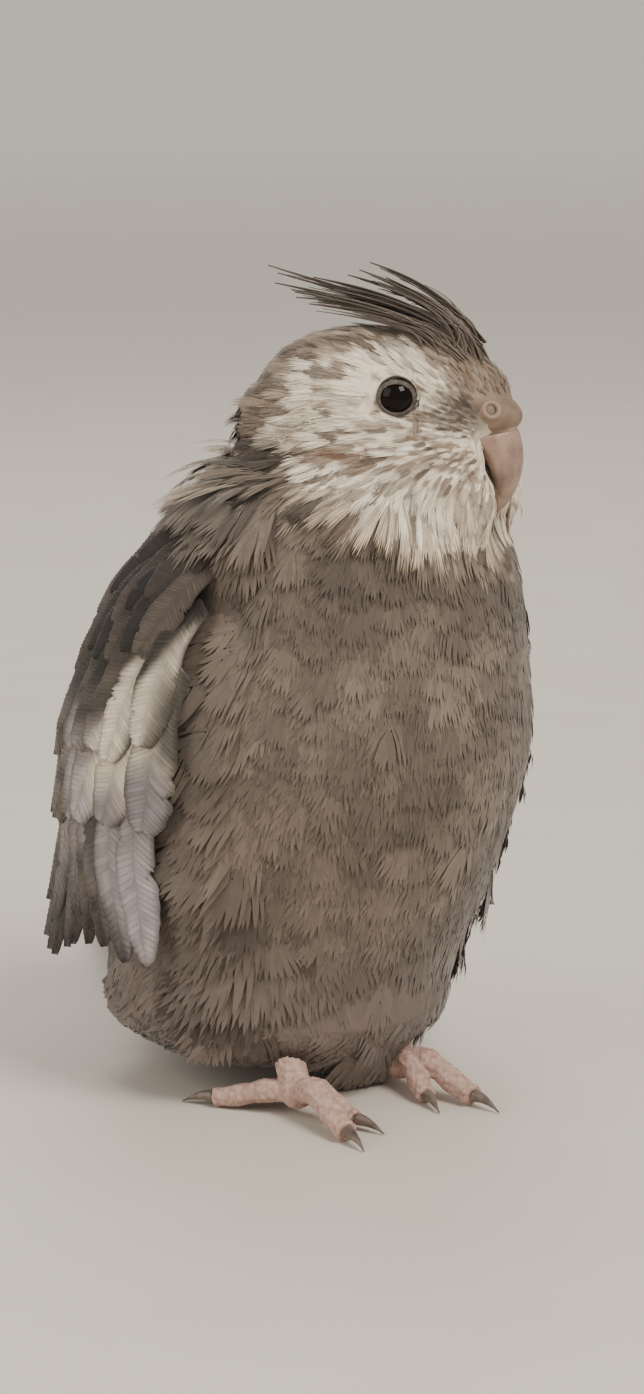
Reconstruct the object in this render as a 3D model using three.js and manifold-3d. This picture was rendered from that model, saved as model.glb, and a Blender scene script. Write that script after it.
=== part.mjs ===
// A cockatiel standing at rest with its plumage fluffed and its head turned to its left, life size.
// Millimetres, +Z up. The bird faces -Y, its left side is +X, and it stands on the floor at Z = 0.
import * as THREE from "three";
import { mergeVertices } from "three/addons/utils/BufferGeometryUtils.js";
import Module from "manifold-3d";

const wasm = await Module();
wasm.setup();

const GAP = 0.3; // clearance between neighbouring pieces
const VANE_THICKNESS = 0.6;
const RIGHT = -1;
const LEFT = 1;
const { degToRad, lerp, smoothstep } = THREE.MathUtils;

// Body: horizontal sections through the fluffed torso and neck.
const BELLY_LEVEL = 5;
const NECK_TOP = 120;
const BELLY_ROUNDING = 10; // height over which the belly closes
const NECK_ROUNDING = 8;
const NECK_CUT = { level: 91, tilt: degToRad(12) }; // where the neck is parted from the torso
const BODY_SECTIONS = [
  // level, middle along Y, half width, reach forward, reach back
  [5, 9.5, 31.5, 33, 31],
  [24, 9, 35, 36.5, 34.5],
  [37, 8, 39, 42, 39],
  [50, 5, 40.5, 45.5, 43],
  [66, 0.5, 41, 46.5, 43.5],
  [81, -3.5, 38.5, 42.5, 41],
  [93, -8, 35.5, 37.5, 37],
  [104, -13, 30.5, 31, 34],
  [112, -15.5, 26, 26, 31.5],
  [121, -17, 21, 20, 28],
];

// Head: measured from its middle, along the way it faces, to its left, and up.
const HEAD_MIDDLE = new THREE.Vector3(1, -22, 122.6);
const HEAD_TURN = degToRad(34);
const HEAD_DIP = degToRad(4);
const HEAD_BLEND = 2.2; // how far the rounded masses of the head run into each other
const HEAD_MASSES = [
  // middle forward, left, up, then reach forward, left, up
  { at: [-5, 0, 2.5], reach: [20, 14, 16.5] }, // crown and back of the head
  { at: [9, 0, 6.5], reach: [16.8, 8.8, 12.8] }, // forehead
  { at: [4, 7.5, -8], reach: [13.5, 7.5, 11.5] }, // cheeks
  { at: [4, -7.5, -8], reach: [13.5, 7.5, 11.5] },
  { at: [12.5, 7, -9.5], reach: [12.5, 6.2, 9.5] }, // ruff beside the bill
  { at: [12.5, -7, -9.5], reach: [12.5, 6.2, 9.5] },
  { at: [-9, 0, -7], reach: [16, 13, 13] }, // nape
];

// Eyes.
const EYE_RADIUS = 3.6;
const EYE_MIDDLE = [5.7, 9.6, 8]; // forward, to the side, up
const EYE_AIM = degToRad(72); // how far the eye looks away from straight ahead
const LID = { radius: 3.05, thickness: 0.55, out: 2.3 };

// Bill: an arc of sections that turns about a point in the head.
const BILL_PIVOT = [12.4, -2.6]; // forward, up
const BILL_RIDGE = 13.8; // pivot to ridge
const BILL_START = degToRad(62);
const BILL_END = degToRad(-42);
const BILL_HALF_WIDTH = 5.2;
// Where the cere ends and the horn begins.
const CERE_EDGE = { forward: 25.3, up: 3.7, slope: degToRad(17) };
const NOSTRIL = { at: [21.2, 3.9, 7.1], radius: 0.85, rim: 1.5 };

// Crest.
const CREST_CUT = { at: [15, 0, 16], lean: degToRad(42) }; // the patch of crown that carries the crest
const CREST_FEATHERS = [
  // root forward and up, the way through the middle to the tip, then sideways at root and tip, and width
  { root: [20, 16.4], middle: [8.5, 25], tip: [-4.4, 29], side: [0.3, 0.8], width: 3 },
  { root: [19, 16.2], middle: [8, 23.8], tip: [-3, 27], side: [-1.6, -2.4], width: 3.2 },
  { root: [18, 16.8], middle: [4.5, 23.4], tip: [-9, 26.2], side: [1.6, 2.8], width: 3.4 },
  { root: [16.4, 17.4], middle: [-1, 22.8], tip: [-22.8, 26.6], side: [0, -0.4], width: 3.4 },
  { root: [15.6, 17.2], middle: [-1.5, 22], tip: [-20.5, 24.2], side: [-1.8, -2.6], width: 3.4 },
  { root: [15, 17.4], middle: [-2, 21.8], tip: [-19, 22.8], side: [1.8, 2.2], width: 3.2 },
  { root: [13.4, 17.6], middle: [-2.5, 21.4], tip: [-17.5, 21.8], side: [-0.4, 0.4], width: 3 },
  { root: [12.6, 17.2], middle: [0, 20.8], tip: [-13.5, 21], side: [-2.4, -3.8], width: 2.8 },
  { root: [12.6, 17.2], middle: [0, 20.8], tip: [-12.5, 20.8], side: [2.4, 3.8], width: 2.8 },
];

// Wings, folded along the flanks.
const WING_FRONT = 64; // degrees round the body from straight ahead
const WING_BACK = 160;
const WING_DEPTH = 3.6; // how deep the wing lies in the fluffed flank
const WING_STRAIGHT_BELOW = 46; // level under which the folded wing no longer follows the body
const WING_PAD = { angle: 103, angleReach: 40, level: 79, levelReach: 23, lift: -1.2, liftReach: 2.6 };
const FEATHER_TIERS = [
  // The first and last feather each run from a root to a tip, both an angle round the body and a level.
  // The lift at root and tip is above the flank, and `pointed` is 0 for a round tip.
  {
    name: "primaries",
    count: 6,
    first: { root: [98, 62], tip: [90, 26] },
    last: { root: [112, 64], tip: [138, 20.5] },
    lift: [-2.2, 0.8],
    width: 8,
    pointed: 0.6,
  },
  {
    name: "secondaries",
    count: 6,
    first: { root: [82, 66], tip: [72, 28] },
    last: { root: [124, 68], tip: [132, 37] },
    lift: [-0.7, 0.4],
    width: 9,
    pointed: 0.3,
  },
  {
    name: "greater coverts",
    count: 6,
    first: { root: [82, 84], tip: [73, 57] },
    last: { root: [124, 76], tip: [132, 50] },
    lift: [0.6, 1.1],
    width: 9,
    pointed: 0.2,
  },
  {
    name: "median coverts",
    count: 5,
    first: { root: [84, 96], tip: [77, 75] },
    last: { root: [122, 88], tip: [130, 65] },
    lift: [0.8, 2],
    width: 10,
    pointed: 0.2,
  },
  {
    name: "scapulars",
    count: 4,
    first: { root: [108, 98], tip: [117, 76] },
    last: { root: [138, 96], tip: [156, 66] },
    lift: [0.6, 2.2],
    width: 10.5,
    pointed: 0.25,
  },
];
const SHINGLE_TILT = 1.0; // rise across a feather, so that each lies over the next

// Tail: twelve feathers in six tiers, the middle pair longest.
const TAIL_ROOT = new THREE.Vector3(0, 36, 26);
const TAIL_LENGTH = 142;
const TAIL_SWING = degToRad(25);
const TAIL_SHORTENING = [0, 14, 32, 48, 60, 70];
const TAIL_SPREAD = [1.5, 3.0, 4.4, 5.6, 6.6, 7.4]; // middle line of each pair to the side
const TAIL_TIER = 0.95; // one tier under the next
const TAIL_FEATHER_WIDTH = 9;

// Legs and feet: each toe runs out from the ball of the foot.
const FOOT_LEVEL = 4.6;
const FEET = {
  right: { side: -15, forward: 19 },
  left: { side: 11.5, forward: 14.5 },
};
const HIP = { forward: 9, level: 26 };
const SHANK_RADIUS = 2.8;
const CLAW = { length: 6.6, radius: 1.3 };
const TOES = [
  // degrees outwards from straight ahead, length, thickness, and how high it arches
  { name: "inner_front", turn: -16, length: 13, radius: 2, arch: 1.2 },
  { name: "outer_front", turn: 8, length: 18.5, radius: 2.25, arch: 1.6 },
  { name: "outer_back", turn: 148, length: 16, radius: 2, arch: -0.4 },
  { name: "inner_back", turn: -152, length: 9.5, radius: 1.75, arch: -0.4 },
];

const COLOURS = {
  plumage: [0x7d746b, 0.9],
  face: [0xd8d1c5, 0.9],
  wing: [0x8a8480, 0.8],
  tail: [0x6d6762, 0.8],
  horn: [0xc4a497, 0.4],
  cere: [0xb59e8f, 0.6],
  claw: [0x6f6358, 0.35],
  skin: [0xc79a90, 0.7],
  eye: [0x0d0b0c, 0.05],
};

const vector = (x, y, z) => new THREE.Vector3(x, y, z);

// Joining and cutting.

function solidOf(geometry) {
  const bare = geometry.clone();
  for (const name of Object.keys(bare.attributes)) {
    if (name !== "position") bare.deleteAttribute(name);
  }
  const merged = mergeVertices(bare, 1e-4);
  const vertProperties = new Float32Array(merged.attributes.position.array);
  const triVerts = new Uint32Array(merged.index.array);
  const made = new wasm.Manifold(new wasm.Mesh({ numProp: 3, vertProperties, triVerts }));
  if (made.volume() > 0) return made;
  for (let i = 0; i < triVerts.length; i += 3) {
    [triVerts[i + 1], triVerts[i + 2]] = [triVerts[i + 2], triVerts[i + 1]];
  }
  return new wasm.Manifold(new wasm.Mesh({ numProp: 3, vertProperties, triVerts }));
}

function solidFromFaces(points, faces) {
  const geometry = new THREE.BufferGeometry().setFromPoints(points);
  geometry.setIndex(faces);
  return solidOf(geometry);
}

function geometryOf(solid) {
  const mesh = solid.getMesh();
  const geometry = new THREE.BufferGeometry();
  geometry.setAttribute("position", new THREE.BufferAttribute(mesh.vertProperties, 3));
  geometry.setIndex(new THREE.BufferAttribute(mesh.triVerts, 1));
  geometry.computeVertexNormals();
  return geometry;
}

const joined = (solids) => solids.reduce((all, next) => all.add(next));

function largestPiece(solid) {
  const pieces = solid.decompose();
  return pieces.reduce((best, piece) => (piece.volume() > best.volume() ? piece : best));
}

// A big box whose lower face lies in the plane through `point` across `normal`, on the normal's side.
function halfSpace(point, normal) {
  const size = 400;
  const box = new THREE.BoxGeometry(size, size, size);
  box.translate(0, 0, size / 2);
  const unitNormal = normal.clone().normalize();
  box.applyQuaternion(new THREE.Quaternion().setFromUnitVectors(vector(0, 0, 1), unitNormal));
  box.translate(point.x, point.y, point.z);
  return solidOf(box);
}

const UNDER_FLOOR = halfSpace(vector(0, 0, 0), vector(0, 0, -1));

// Closed surfaces.

// Rings of equal count joined one to the next, each end closed at its middle.
function loft(rings) {
  const around = rings[0].length;
  const middle = (ring) => ring.reduce((sum, p) => sum.add(p), vector(0, 0, 0)).divideScalar(around);
  const points = [...rings.flat(), middle(rings[0]), middle(rings.at(-1))];
  const start = points.length - 2;
  const end = points.length - 1;
  const last = (rings.length - 1) * around;
  const faces = [];
  for (let j = 0; j < around; j++) {
    const next = (j + 1) % around;
    for (let i = 0; i < last; i += around) {
      faces.push(i + j, i + next, i + around + next, i + j, i + around + next, i + around + j);
    }
    faces.push(start, next, j, end, last + j, last + next);
  }
  return solidFromFaces(points, faces);
}

// Two grids of points joined round their rims, split into triangles alike on both faces.
function slab(top, bottom) {
  const rows = top.length;
  const columns = top[0].length;
  const points = [...top.flat(), ...bottom.flat()];
  const at = (layer, i, j) => (layer * rows + i) * columns + j;
  const faces = [];
  const quad = (a, b, c, d) => faces.push(a, b, c, a, c, d);
  const end = columns - 1;
  for (let i = 0; i < rows - 1; i++) {
    for (let j = 0; j < end; j++) {
      quad(at(0, i, j), at(0, i + 1, j), at(0, i + 1, j + 1), at(0, i, j + 1));
      quad(at(1, i, j), at(1, i, j + 1), at(1, i + 1, j + 1), at(1, i + 1, j));
    }
    quad(at(0, i + 1, 0), at(0, i, 0), at(1, i, 0), at(1, i + 1, 0));
    quad(at(0, i, end), at(0, i + 1, end), at(1, i + 1, end), at(1, i, end));
  }
  for (let j = 0; j < end; j++) {
    quad(at(0, 0, j), at(0, 0, j + 1), at(1, 0, j + 1), at(1, 0, j));
    quad(at(0, rows - 1, j + 1), at(0, rows - 1, j), at(1, rows - 1, j), at(1, rows - 1, j + 1));
  }
  return solidFromFaces(points, faces);
}

// Half width of a vane from its root (0) to its tip (1).
// `pointed` is 0 for a round tip and 1 for a sharp one.
function vaneShape(t, pointed) {
  const fullest = lerp(0.72, 0.4, pointed);
  if (t <= fullest) return lerp(0.55, 1, smoothstep(t, 0, fullest));
  const past = (t - fullest) / (1 - fullest);
  return Math.max(0.12, lerp(Math.sqrt(1 - past * past), 1 - past, pointed));
}

const VANE_STATIONS = [0, 0.3, 0.6, 0.84, 1];

// A feather along `path`, whose broad face turns towards `facing` at each of its points.
function vane(path, facing, width, pointed, tilt = 0) {
  const top = [];
  const bottom = [];
  for (const t of VANE_STATIONS) {
    const place = path(t);
    const along = path(Math.min(1, t + 0.02)).sub(path(Math.max(0, t - 0.02))).normalize();
    const out = facing(t);
    out.addScaledVector(along, -out.dot(along)).normalize();
    const across = vector().crossVectors(along, out);
    const half = (width / 2) * vaneShape(t, pointed);
    const thick = VANE_THICKNESS * lerp(1, 0.6, t);
    const row = [-1, 1].map((edge) =>
      place
        .clone()
        .addScaledVector(across, edge * half)
        .addScaledVector(out, (edge * tilt * half) / width),
    );
    top.push(row.map((p) => p.clone().addScaledVector(out, thick / 2)));
    bottom.push(row.map((p) => p.clone().addScaledVector(out, -thick / 2)));
  }
  return slab(top, bottom);
}

// A round tube whose radius follows `radius(t)` along a curve, as one closed piece.
function tube(curve, radius, sides, steps, up) {
  const rings = [];
  for (let i = 0; i <= steps; i++) {
    const t = i / steps;
    const place = curve.getPoint(t);
    const along = curve.getTangent(t);
    const across = vector().crossVectors(along, up).normalize();
    const over = vector().crossVectors(across, along);
    rings.push(
      Array.from({ length: sides }, (_, j) => {
        const turn = ((j + 0.5) / sides) * 2 * Math.PI;
        return place
          .clone()
          .addScaledVector(across, radius(t) * Math.cos(turn))
          .addScaledVector(over, radius(t) * Math.sin(turn));
      }),
    );
  }
  return loft(rings);
}

// Torso and neck.

const sections = new THREE.CubicInterpolant(
  BODY_SECTIONS.map((row) => row[0]),
  BODY_SECTIONS.flatMap((row) => row.slice(1)),
  4,
);

function bodySection(level) {
  const [middle, halfWidth, front, back] = sections.evaluate(level);
  return { middle, halfWidth, front, back };
}

// A point on the body at an angle in degrees from straight ahead, towards one side.
// `lift` is how far outside the body's surface it lies.
function bodyPoint(side, angle, level, lift, closing = 1) {
  const { middle, halfWidth, front, back } = bodySection(level);
  const turn = degToRad(angle);
  const reach = (Math.cos(turn) > 0 ? front : back) * closing + lift;
  return vector(
    side * (halfWidth * closing + lift) * Math.sin(turn),
    middle - reach * Math.cos(turn),
    level,
  );
}

// The hollow in the flank where the folded wing lies.
function wingHollow(angle, level) {
  const behindFront = smoothstep(angle, WING_FRONT - 6, WING_FRONT + 8);
  const beforeBack = 1 - smoothstep(angle, WING_BACK, WING_BACK + 12);
  const between = (1 - smoothstep(level, 92, 102)) * smoothstep(level, 12, 30);
  return WING_DEPTH * behindFront * beforeBack * between;
}

function bodySolid(grow) {
  const around = 36;
  const levels = 22;
  const low = BELLY_LEVEL - grow;
  const high = NECK_TOP + grow;
  const rings = [];
  for (let i = 1; i < levels; i++) {
    const level = lerp(low, high, (1 - Math.cos((Math.PI * i) / levels)) / 2);
    const intoBelly = Math.min(1, (level - low) / BELLY_ROUNDING);
    const intoNeck = Math.min(1, (high - level) / NECK_ROUNDING);
    const closing = (1 - (1 - intoBelly) ** 2.6) ** 0.45 * Math.sqrt(1 - (1 - intoNeck) ** 2);
    rings.push(
      Array.from({ length: around }, (_, j) => {
        const turn = (j / around) * 360;
        const side = turn <= 180 ? LEFT : RIGHT;
        const angle = turn <= 180 ? turn : 360 - turn;
        return bodyPoint(side, angle, level, grow - wingHollow(angle, level), closing);
      }),
    );
  }
  return loft(rings);
}

// Head.

const headFrame = new THREE.Matrix4().makeTranslation(HEAD_MIDDLE)
  .multiply(new THREE.Matrix4().makeRotationZ(HEAD_TURN - Math.PI / 2))
  .multiply(new THREE.Matrix4().makeRotationY(HEAD_DIP));

// From forward, left and up in the head to the bird's own frame.
const fromHead = (forward, left, up) => vector(forward, left, up).applyMatrix4(headFrame);
const turnedFromHead = (forward, left, up) => vector(forward, left, up).transformDirection(headFrame);
const inHeadFrame = (geometry) => geometry.applyMatrix4(headFrame);

// How far a point lies outside the head: under zero is inside.
function outsideHead(point) {
  let sum = 0;
  for (const { at, reach } of HEAD_MASSES) {
    const scaled = Math.hypot(...point.map((value, k) => (value - at[k]) / reach[k]));
    sum += Math.exp(((1 - scaled) * Math.min(...reach)) / HEAD_BLEND);
  }
  return -Math.log(sum) * HEAD_BLEND;
}

function headReach(direction) {
  let inside = 0;
  let outside = 60;
  for (let i = 0; i < 24; i++) {
    const reach = (inside + outside) / 2;
    if (outsideHead(direction.map((value) => value * reach)) < 0) inside = reach;
    else outside = reach;
  }
  return inside;
}

function headSolid(grow) {
  const ball = new THREE.IcosahedronGeometry(1, 6);
  const place = ball.attributes.position;
  for (let i = 0; i < place.count; i++) {
    const direction = [place.getX(i), place.getY(i), place.getZ(i)];
    const reach = headReach(direction) + grow;
    place.setXYZ(i, ...direction.map((value) => value * reach));
  }
  return solidOf(inHeadFrame(ball));
}

// Eyes and lids.

function eyeSolid(side, grow) {
  const ball = new THREE.SphereGeometry(EYE_RADIUS + grow, 14, 10);
  const [forward, out, up] = EYE_MIDDLE;
  return solidOf(inHeadFrame(ball.translate(forward, side * out, up)));
}

function lidSolid(side) {
  const ring = new THREE.TorusGeometry(LID.radius, LID.thickness, 5, 16);
  const aim = vector(Math.cos(EYE_AIM), side * Math.sin(EYE_AIM), 0);
  ring.scale(1.08, 0.92, 1);
  ring.applyQuaternion(new THREE.Quaternion().setFromUnitVectors(vector(0, 0, 1), aim));
  const [forward, out, up] = EYE_MIDDLE;
  ring.translate(forward + aim.x * LID.out, side * out + aim.y * LID.out, up);
  return solidOf(inHeadFrame(ring));
}

// Bill and cere.

// One section of the upper bill, `turn` round its pivot: a rounded wedge, narrow at the ridge.
function billRing(turn, share, grow) {
  const narrowing = Math.sqrt(1 - share ** 2.2);
  const halfWidth = BILL_HALF_WIDTH * (0.12 + 0.88 * narrowing) + grow;
  const depth = lerp(8.6, 1.0, share ** 1.5);
  const ridge = BILL_RIDGE + grow;
  const inner = BILL_RIDGE - depth - grow;
  const outline = [
    [ridge, 0.14],
    [lerp(inner, ridge, 0.9), 0.58],
    [lerp(inner, ridge, 0.62), 0.92],
    [lerp(inner, ridge, 0.25), 1],
    [inner, 0.9],
  ];
  const half = outline.map(([out, wide]) => [out, wide * halfWidth]);
  const whole = [...half, ...half.toReversed().map(([out, wide]) => [out, -wide])];
  return whole.map(([out, wide]) =>
    fromHead(BILL_PIVOT[0] + out * Math.cos(turn), wide, BILL_PIVOT[1] + out * Math.sin(turn)),
  );
}

function billSolid(grow) {
  const steps = 12;
  const rings = [];
  for (let i = 0; i <= steps; i++) {
    const along = i / steps;
    const reach = grow / BILL_RIDGE;
    const turn = lerp(BILL_START + reach, BILL_END - reach, along);
    rings.push(billRing(turn, along, grow));
  }
  return loft(rings);
}

const cerePlanePoint = (up) => fromHead(CERE_EDGE.forward, 0, CERE_EDGE.up + up);
const cerePlaneNormal = turnedFromHead(-Math.sin(CERE_EDGE.slope), 0, Math.cos(CERE_EDGE.slope));

function nostril(side, radius, length) {
  const hole = new THREE.CylinderGeometry(radius, radius, length, 10);
  const out = vector(0.35, side * 0.92, 0.1).normalize();
  hole.applyQuaternion(new THREE.Quaternion().setFromUnitVectors(vector(0, 1, 0), out));
  const [forward, sideways, up] = NOSTRIL.at;
  return solidOf(inHeadFrame(hole.translate(forward, side * sideways, up)));
}

function nostrilRim(side) {
  const rim = new THREE.SphereGeometry(NOSTRIL.rim, 10, 8);
  const [forward, sideways, up] = NOSTRIL.at;
  return solidOf(inHeadFrame(rim.translate(forward, side * sideways, up)));
}

function lowerBillSolid(grow) {
  const scoop = new THREE.SphereGeometry(1, 14, 10);
  scoop.scale(5.6 + grow, 4.2 + grow, 3.6 + grow);
  scoop.translate(16.6, 0, -10);
  return solidOf(inHeadFrame(scoop));
}

// Crest.

const crestPlaneNormal = turnedFromHead(Math.sin(CREST_CUT.lean), 0, Math.cos(CREST_CUT.lean));
const crestPlanePoint = (along) => fromHead(...CREST_CUT.at).addScaledVector(crestPlaneNormal, along);

function crestFeather({ root, middle, tip, side, width }) {
  const [rootSide, tipSide] = side;
  const curve = new THREE.QuadraticBezierCurve3(
    fromHead(root[0], rootSide, root[1]),
    fromHead(
      2 * middle[0] - (root[0] + tip[0]) / 2,
      (rootSide + tipSide) / 2,
      2 * middle[1] - (root[1] + tip[1]) / 2,
    ),
    fromHead(tip[0], tipSide, tip[1]),
  );
  const lean = turnedFromHead(0, 0.75, 1);
  return vane((t) => curve.getPoint(t), () => lean.clone(), width, 0.9);
}

// Wings.

// The folded wing's own surface: the flank's, but straighter and further back below a level.
function wingPoint(side, angle, level, lift) {
  if (level >= WING_STRAIGHT_BELOW) return bodyPoint(side, angle, level, lift);
  const below = WING_STRAIGHT_BELOW - level;
  const point = bodyPoint(side, angle, WING_STRAIGHT_BELOW, lift);
  const rear = smoothstep(angle, 80, 135);
  return point.add(vector(-side * below * 0.1, below * (0.02 + 0.2 * rear), -below));
}

function wingFacing(side, angle, level) {
  return wingPoint(side, angle, level, 1).sub(wingPoint(side, angle, level, 0));
}

function wingPad(side) {
  const ball = new THREE.IcosahedronGeometry(1, 4);
  const place = ball.attributes.position;
  const fuller = (value) => Math.sign(value) * Math.abs(value) ** 0.85;
  for (let i = 0; i < place.count; i++) {
    const angle = WING_PAD.angle + WING_PAD.angleReach * fuller(place.getX(i));
    const level = WING_PAD.level + WING_PAD.levelReach * fuller(place.getY(i));
    const lift = WING_PAD.lift + WING_PAD.liftReach * place.getZ(i);
    const point = wingPoint(side, angle, level, lift);
    place.setXYZ(i, point.x, point.y, point.z);
  }
  return solidOf(ball);
}

function wingFeathers(side, tier) {
  return Array.from({ length: tier.count }, (_, i) => {
    const share = i / (tier.count - 1);
    const mix = (end, k) => lerp(tier.first[end][k], tier.last[end][k], share);
    const at = (t) => [
      lerp(mix("root", 0), mix("tip", 0), t),
      lerp(mix("root", 1), mix("tip", 1), t),
    ];
    return vane(
      (t) => wingPoint(side, ...at(t), lerp(tier.lift[0], tier.lift[1], t)),
      (t) => wingFacing(side, ...at(t)),
      tier.width,
      tier.pointed,
      -side * SHINGLE_TILT,
    );
  });
}

// Tail.

function tailPoint(length, sideways, lift) {
  const share = Math.min(1, Math.max(0, length / TAIL_LENGTH));
  const level = lerp(VANE_THICKNESS, TAIL_ROOT.z, (1 - share) ** 1.2);
  return vector(
    TAIL_ROOT.x + length * Math.sin(TAIL_SWING) + sideways * Math.cos(TAIL_SWING),
    TAIL_ROOT.y + length * Math.cos(TAIL_SWING) - sideways * Math.sin(TAIL_SWING),
    level + lift,
  );
}

function tailFeather(pair, side) {
  const length = TAIL_LENGTH - TAIL_SHORTENING[pair];
  const spread = (t) => side * TAIL_SPREAD[pair] * lerp(0.35, 1, t);
  const lift = (t) => -pair * TAIL_TIER * lerp(0.7, 1, t);
  return vane(
    (t) => tailPoint(t * length, spread(t), lift(t)),
    () => vector(side * 0.16, 0.1, 1),
    TAIL_FEATHER_WIDTH - pair * 0.4,
    pair < 2 ? 0.85 : 0.5,
  );
}

function tailBase() {
  const ball = new THREE.SphereGeometry(1, 20, 14);
  ball.scale(14, 24, 9);
  ball.rotateX(degToRad(-18));
  ball.translate(1, 42, 24);
  return solidOf(ball);
}

// Legs.

const footOf = (side) => (side === RIGHT ? FEET.right : FEET.left);
const footMiddle = (side) => vector(footOf(side).side, -footOf(side).forward, FOOT_LEVEL);

function shank(side) {
  const hip = vector(footOf(side).side, -HIP.forward, HIP.level);
  return tube(new THREE.LineCurve3(hip, footMiddle(side)), () => SHANK_RADIUS, 10, 2, vector(0, 1, 0));
}

const toeDirection = (side, { turn }) =>
  vector(side * Math.sin(degToRad(turn)), -Math.cos(degToRad(turn)), 0);

// The toe arches from the ball of the foot down to a small flat on the floor.
function toeCurve(side, toe) {
  const start = footMiddle(side);
  const out = toeDirection(side, toe);
  const at = (share, level) => start.clone().setZ(level).addScaledVector(out, toe.length * share);
  return new THREE.CatmullRomCurve3([
    start,
    at(0.35, FOOT_LEVEL + toe.arch),
    at(0.75, toe.radius + 0.5 + Math.max(0, toe.arch) * 0.5),
    at(1, toe.radius - 0.25),
  ]);
}

function toeSolid(side, toe) {
  const joints = (t) => 1 + 0.09 * Math.cos(6 * Math.PI * t);
  const radius = (t) => toe.radius * lerp(1.15, 0.9, t) * joints(t);
  return tube(toeCurve(side, toe), radius, 8, 8, vector(0, 0, 1));
}

// A claw curves down from the end of its toe, parted from it by a flat cut.
function clawSolid(side, toe) {
  const curve = toeCurve(side, toe);
  const end = curve.getPoint(1);
  const along = curve.getTangent(1);
  const out = along.clone().setZ(0).normalize();
  const root = end.clone().addScaledVector(along, -0.6);
  const knuckle = end.clone().addScaledVector(out, CLAW.length * 0.5).setZ(end.z + 0.5);
  const tip = end.clone().addScaledVector(out, CLAW.length).setZ(0.25);
  const path = new THREE.QuadraticBezierCurve3(root, knuckle, tip);
  const claw = tube(path, (t) => CLAW.radius * Math.max(0.14, 1 - t ** 1.4), 7, 6, vector(0, 0, 1));
  return claw.subtract(halfSpace(end.clone().addScaledVector(along, GAP), along.clone().negate()));
}

function footSolid(side) {
  const ball = new THREE.SphereGeometry(3.2, 12, 9);
  const middle = footMiddle(side);
  return joined([
    shank(side),
    solidOf(ball.translate(middle.x, middle.y, middle.z)),
    ...TOES.map((toe) => toeSolid(side, toe)),
  ]);
}

// The whole bird.

const bird = new THREE.Group();

function addPiece(name, solid, [color, roughness]) {
  const standing = largestPiece(solid.subtract(UNDER_FLOOR));
  const material = new THREE.MeshStandardMaterial({ color, roughness, metalness: 0 });
  const mesh = new THREE.Mesh(geometryOf(standing), material);
  mesh.name = name;
  bird.add(mesh);
}

const wholeBody = bodySolid(0);
const roundBody = bodySolid(GAP);
const wholeHead = headSolid(0);
const roundHead = headSolid(GAP);
const wholeBill = billSolid(0);
const roundBill = billSolid(GAP);

const neckNormal = vector(0, Math.sin(-NECK_CUT.tilt), Math.cos(NECK_CUT.tilt));
const neckPoint = (along) => vector(0, -10, NECK_CUT.level).addScaledVector(neckNormal, along);
const aboveNeckCut = halfSpace(neckPoint(GAP / 2), neckNormal);
const belowNeckCut = halfSpace(neckPoint(-GAP / 2), neckNormal.clone().negate());

addPiece("torso", wholeBody.subtract(roundHead).intersect(belowNeckCut), COLOURS.plumage);
addPiece("neck", wholeBody.subtract(roundHead).intersect(aboveNeckCut), COLOURS.plumage);

const lids = joined([lidSolid(LEFT), lidSolid(RIGHT)]);
const roundEyes = joined([eyeSolid(LEFT, GAP), eyeSolid(RIGHT, GAP)]);
const skull = wholeHead
  .add(lids)
  .subtract(roundEyes)
  .subtract(roundBill)
  .subtract(nostrilRim(LEFT))
  .subtract(nostrilRim(RIGHT))
  .subtract(lowerBillSolid(GAP));
const belowCrest = halfSpace(crestPlanePoint(-GAP / 2), crestPlaneNormal.clone().negate());
const aboveCrest = halfSpace(crestPlanePoint(GAP / 2), crestPlaneNormal);
addPiece("head", skull.intersect(belowCrest), COLOURS.face);

const crownBehind = roundHead.subtract(aboveCrest);
const crestVanes = joined(CREST_FEATHERS.map(crestFeather)).subtract(crownBehind);
addPiece("crest", wholeHead.intersect(aboveCrest).add(crestVanes), COLOURS.plumage);

for (const [name, side] of [["left", LEFT], ["right", RIGHT]]) {
  addPiece(`${name}_eye`, eyeSolid(side, 0), COLOURS.eye);
}

const aboveCere = halfSpace(cerePlanePoint(GAP / 2), cerePlaneNormal);
const belowCere = halfSpace(cerePlanePoint(-GAP / 2), cerePlaneNormal.clone().negate());
const nostrilRims = joined([nostrilRim(LEFT), nostrilRim(RIGHT)]).subtract(wholeHead);
const nostrils = joined([nostril(LEFT, NOSTRIL.radius, 5), nostril(RIGHT, NOSTRIL.radius, 5)]);
addPiece("cere", wholeBill.intersect(aboveCere).add(nostrilRims).subtract(nostrils), COLOURS.cere);
addPiece("upper_bill", wholeBill.intersect(belowCere), COLOURS.horn);
const throat = roundBody.subtract(wholeHead);
addPiece("lower_bill", lowerBillSolid(0).subtract(roundBill).subtract(throat), COLOURS.horn);

const tailRoot = tailBase().subtract(roundBody);
const tailFeathers = TAIL_SHORTENING.flatMap((_, pair) =>
  [LEFT, RIGHT].map((side) => tailFeather(pair, side)),
);
const wholeTail = tailRoot.add(joined(tailFeathers)).subtract(roundBody);
addPiece("tail", wholeTail, COLOURS.tail);

for (const [name, side] of [["left", LEFT], ["right", RIGHT]]) {
  const feathers = FEATHER_TIERS.flatMap((tier) => wingFeathers(side, tier));
  const wing = joined([wingPad(side), ...feathers]).subtract(roundBody).subtract(wholeTail);
  addPiece(`${name}_wing`, wing, COLOURS.wing);
  addPiece(`${name}_leg`, footSolid(side).subtract(roundBody), COLOURS.skin);
  for (const toe of TOES) {
    addPiece(`${name}_${toe.name}_claw`, clawSolid(side, toe), COLOURS.claw);
  }
}

// The origin is on the floor, under the middle of the bird's own box.
const box = new THREE.Box3().setFromObject(bird, true);
bird.position.set(-(box.min.x + box.max.x) / 2, -(box.min.y + box.max.y) / 2, -box.min.z);

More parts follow.
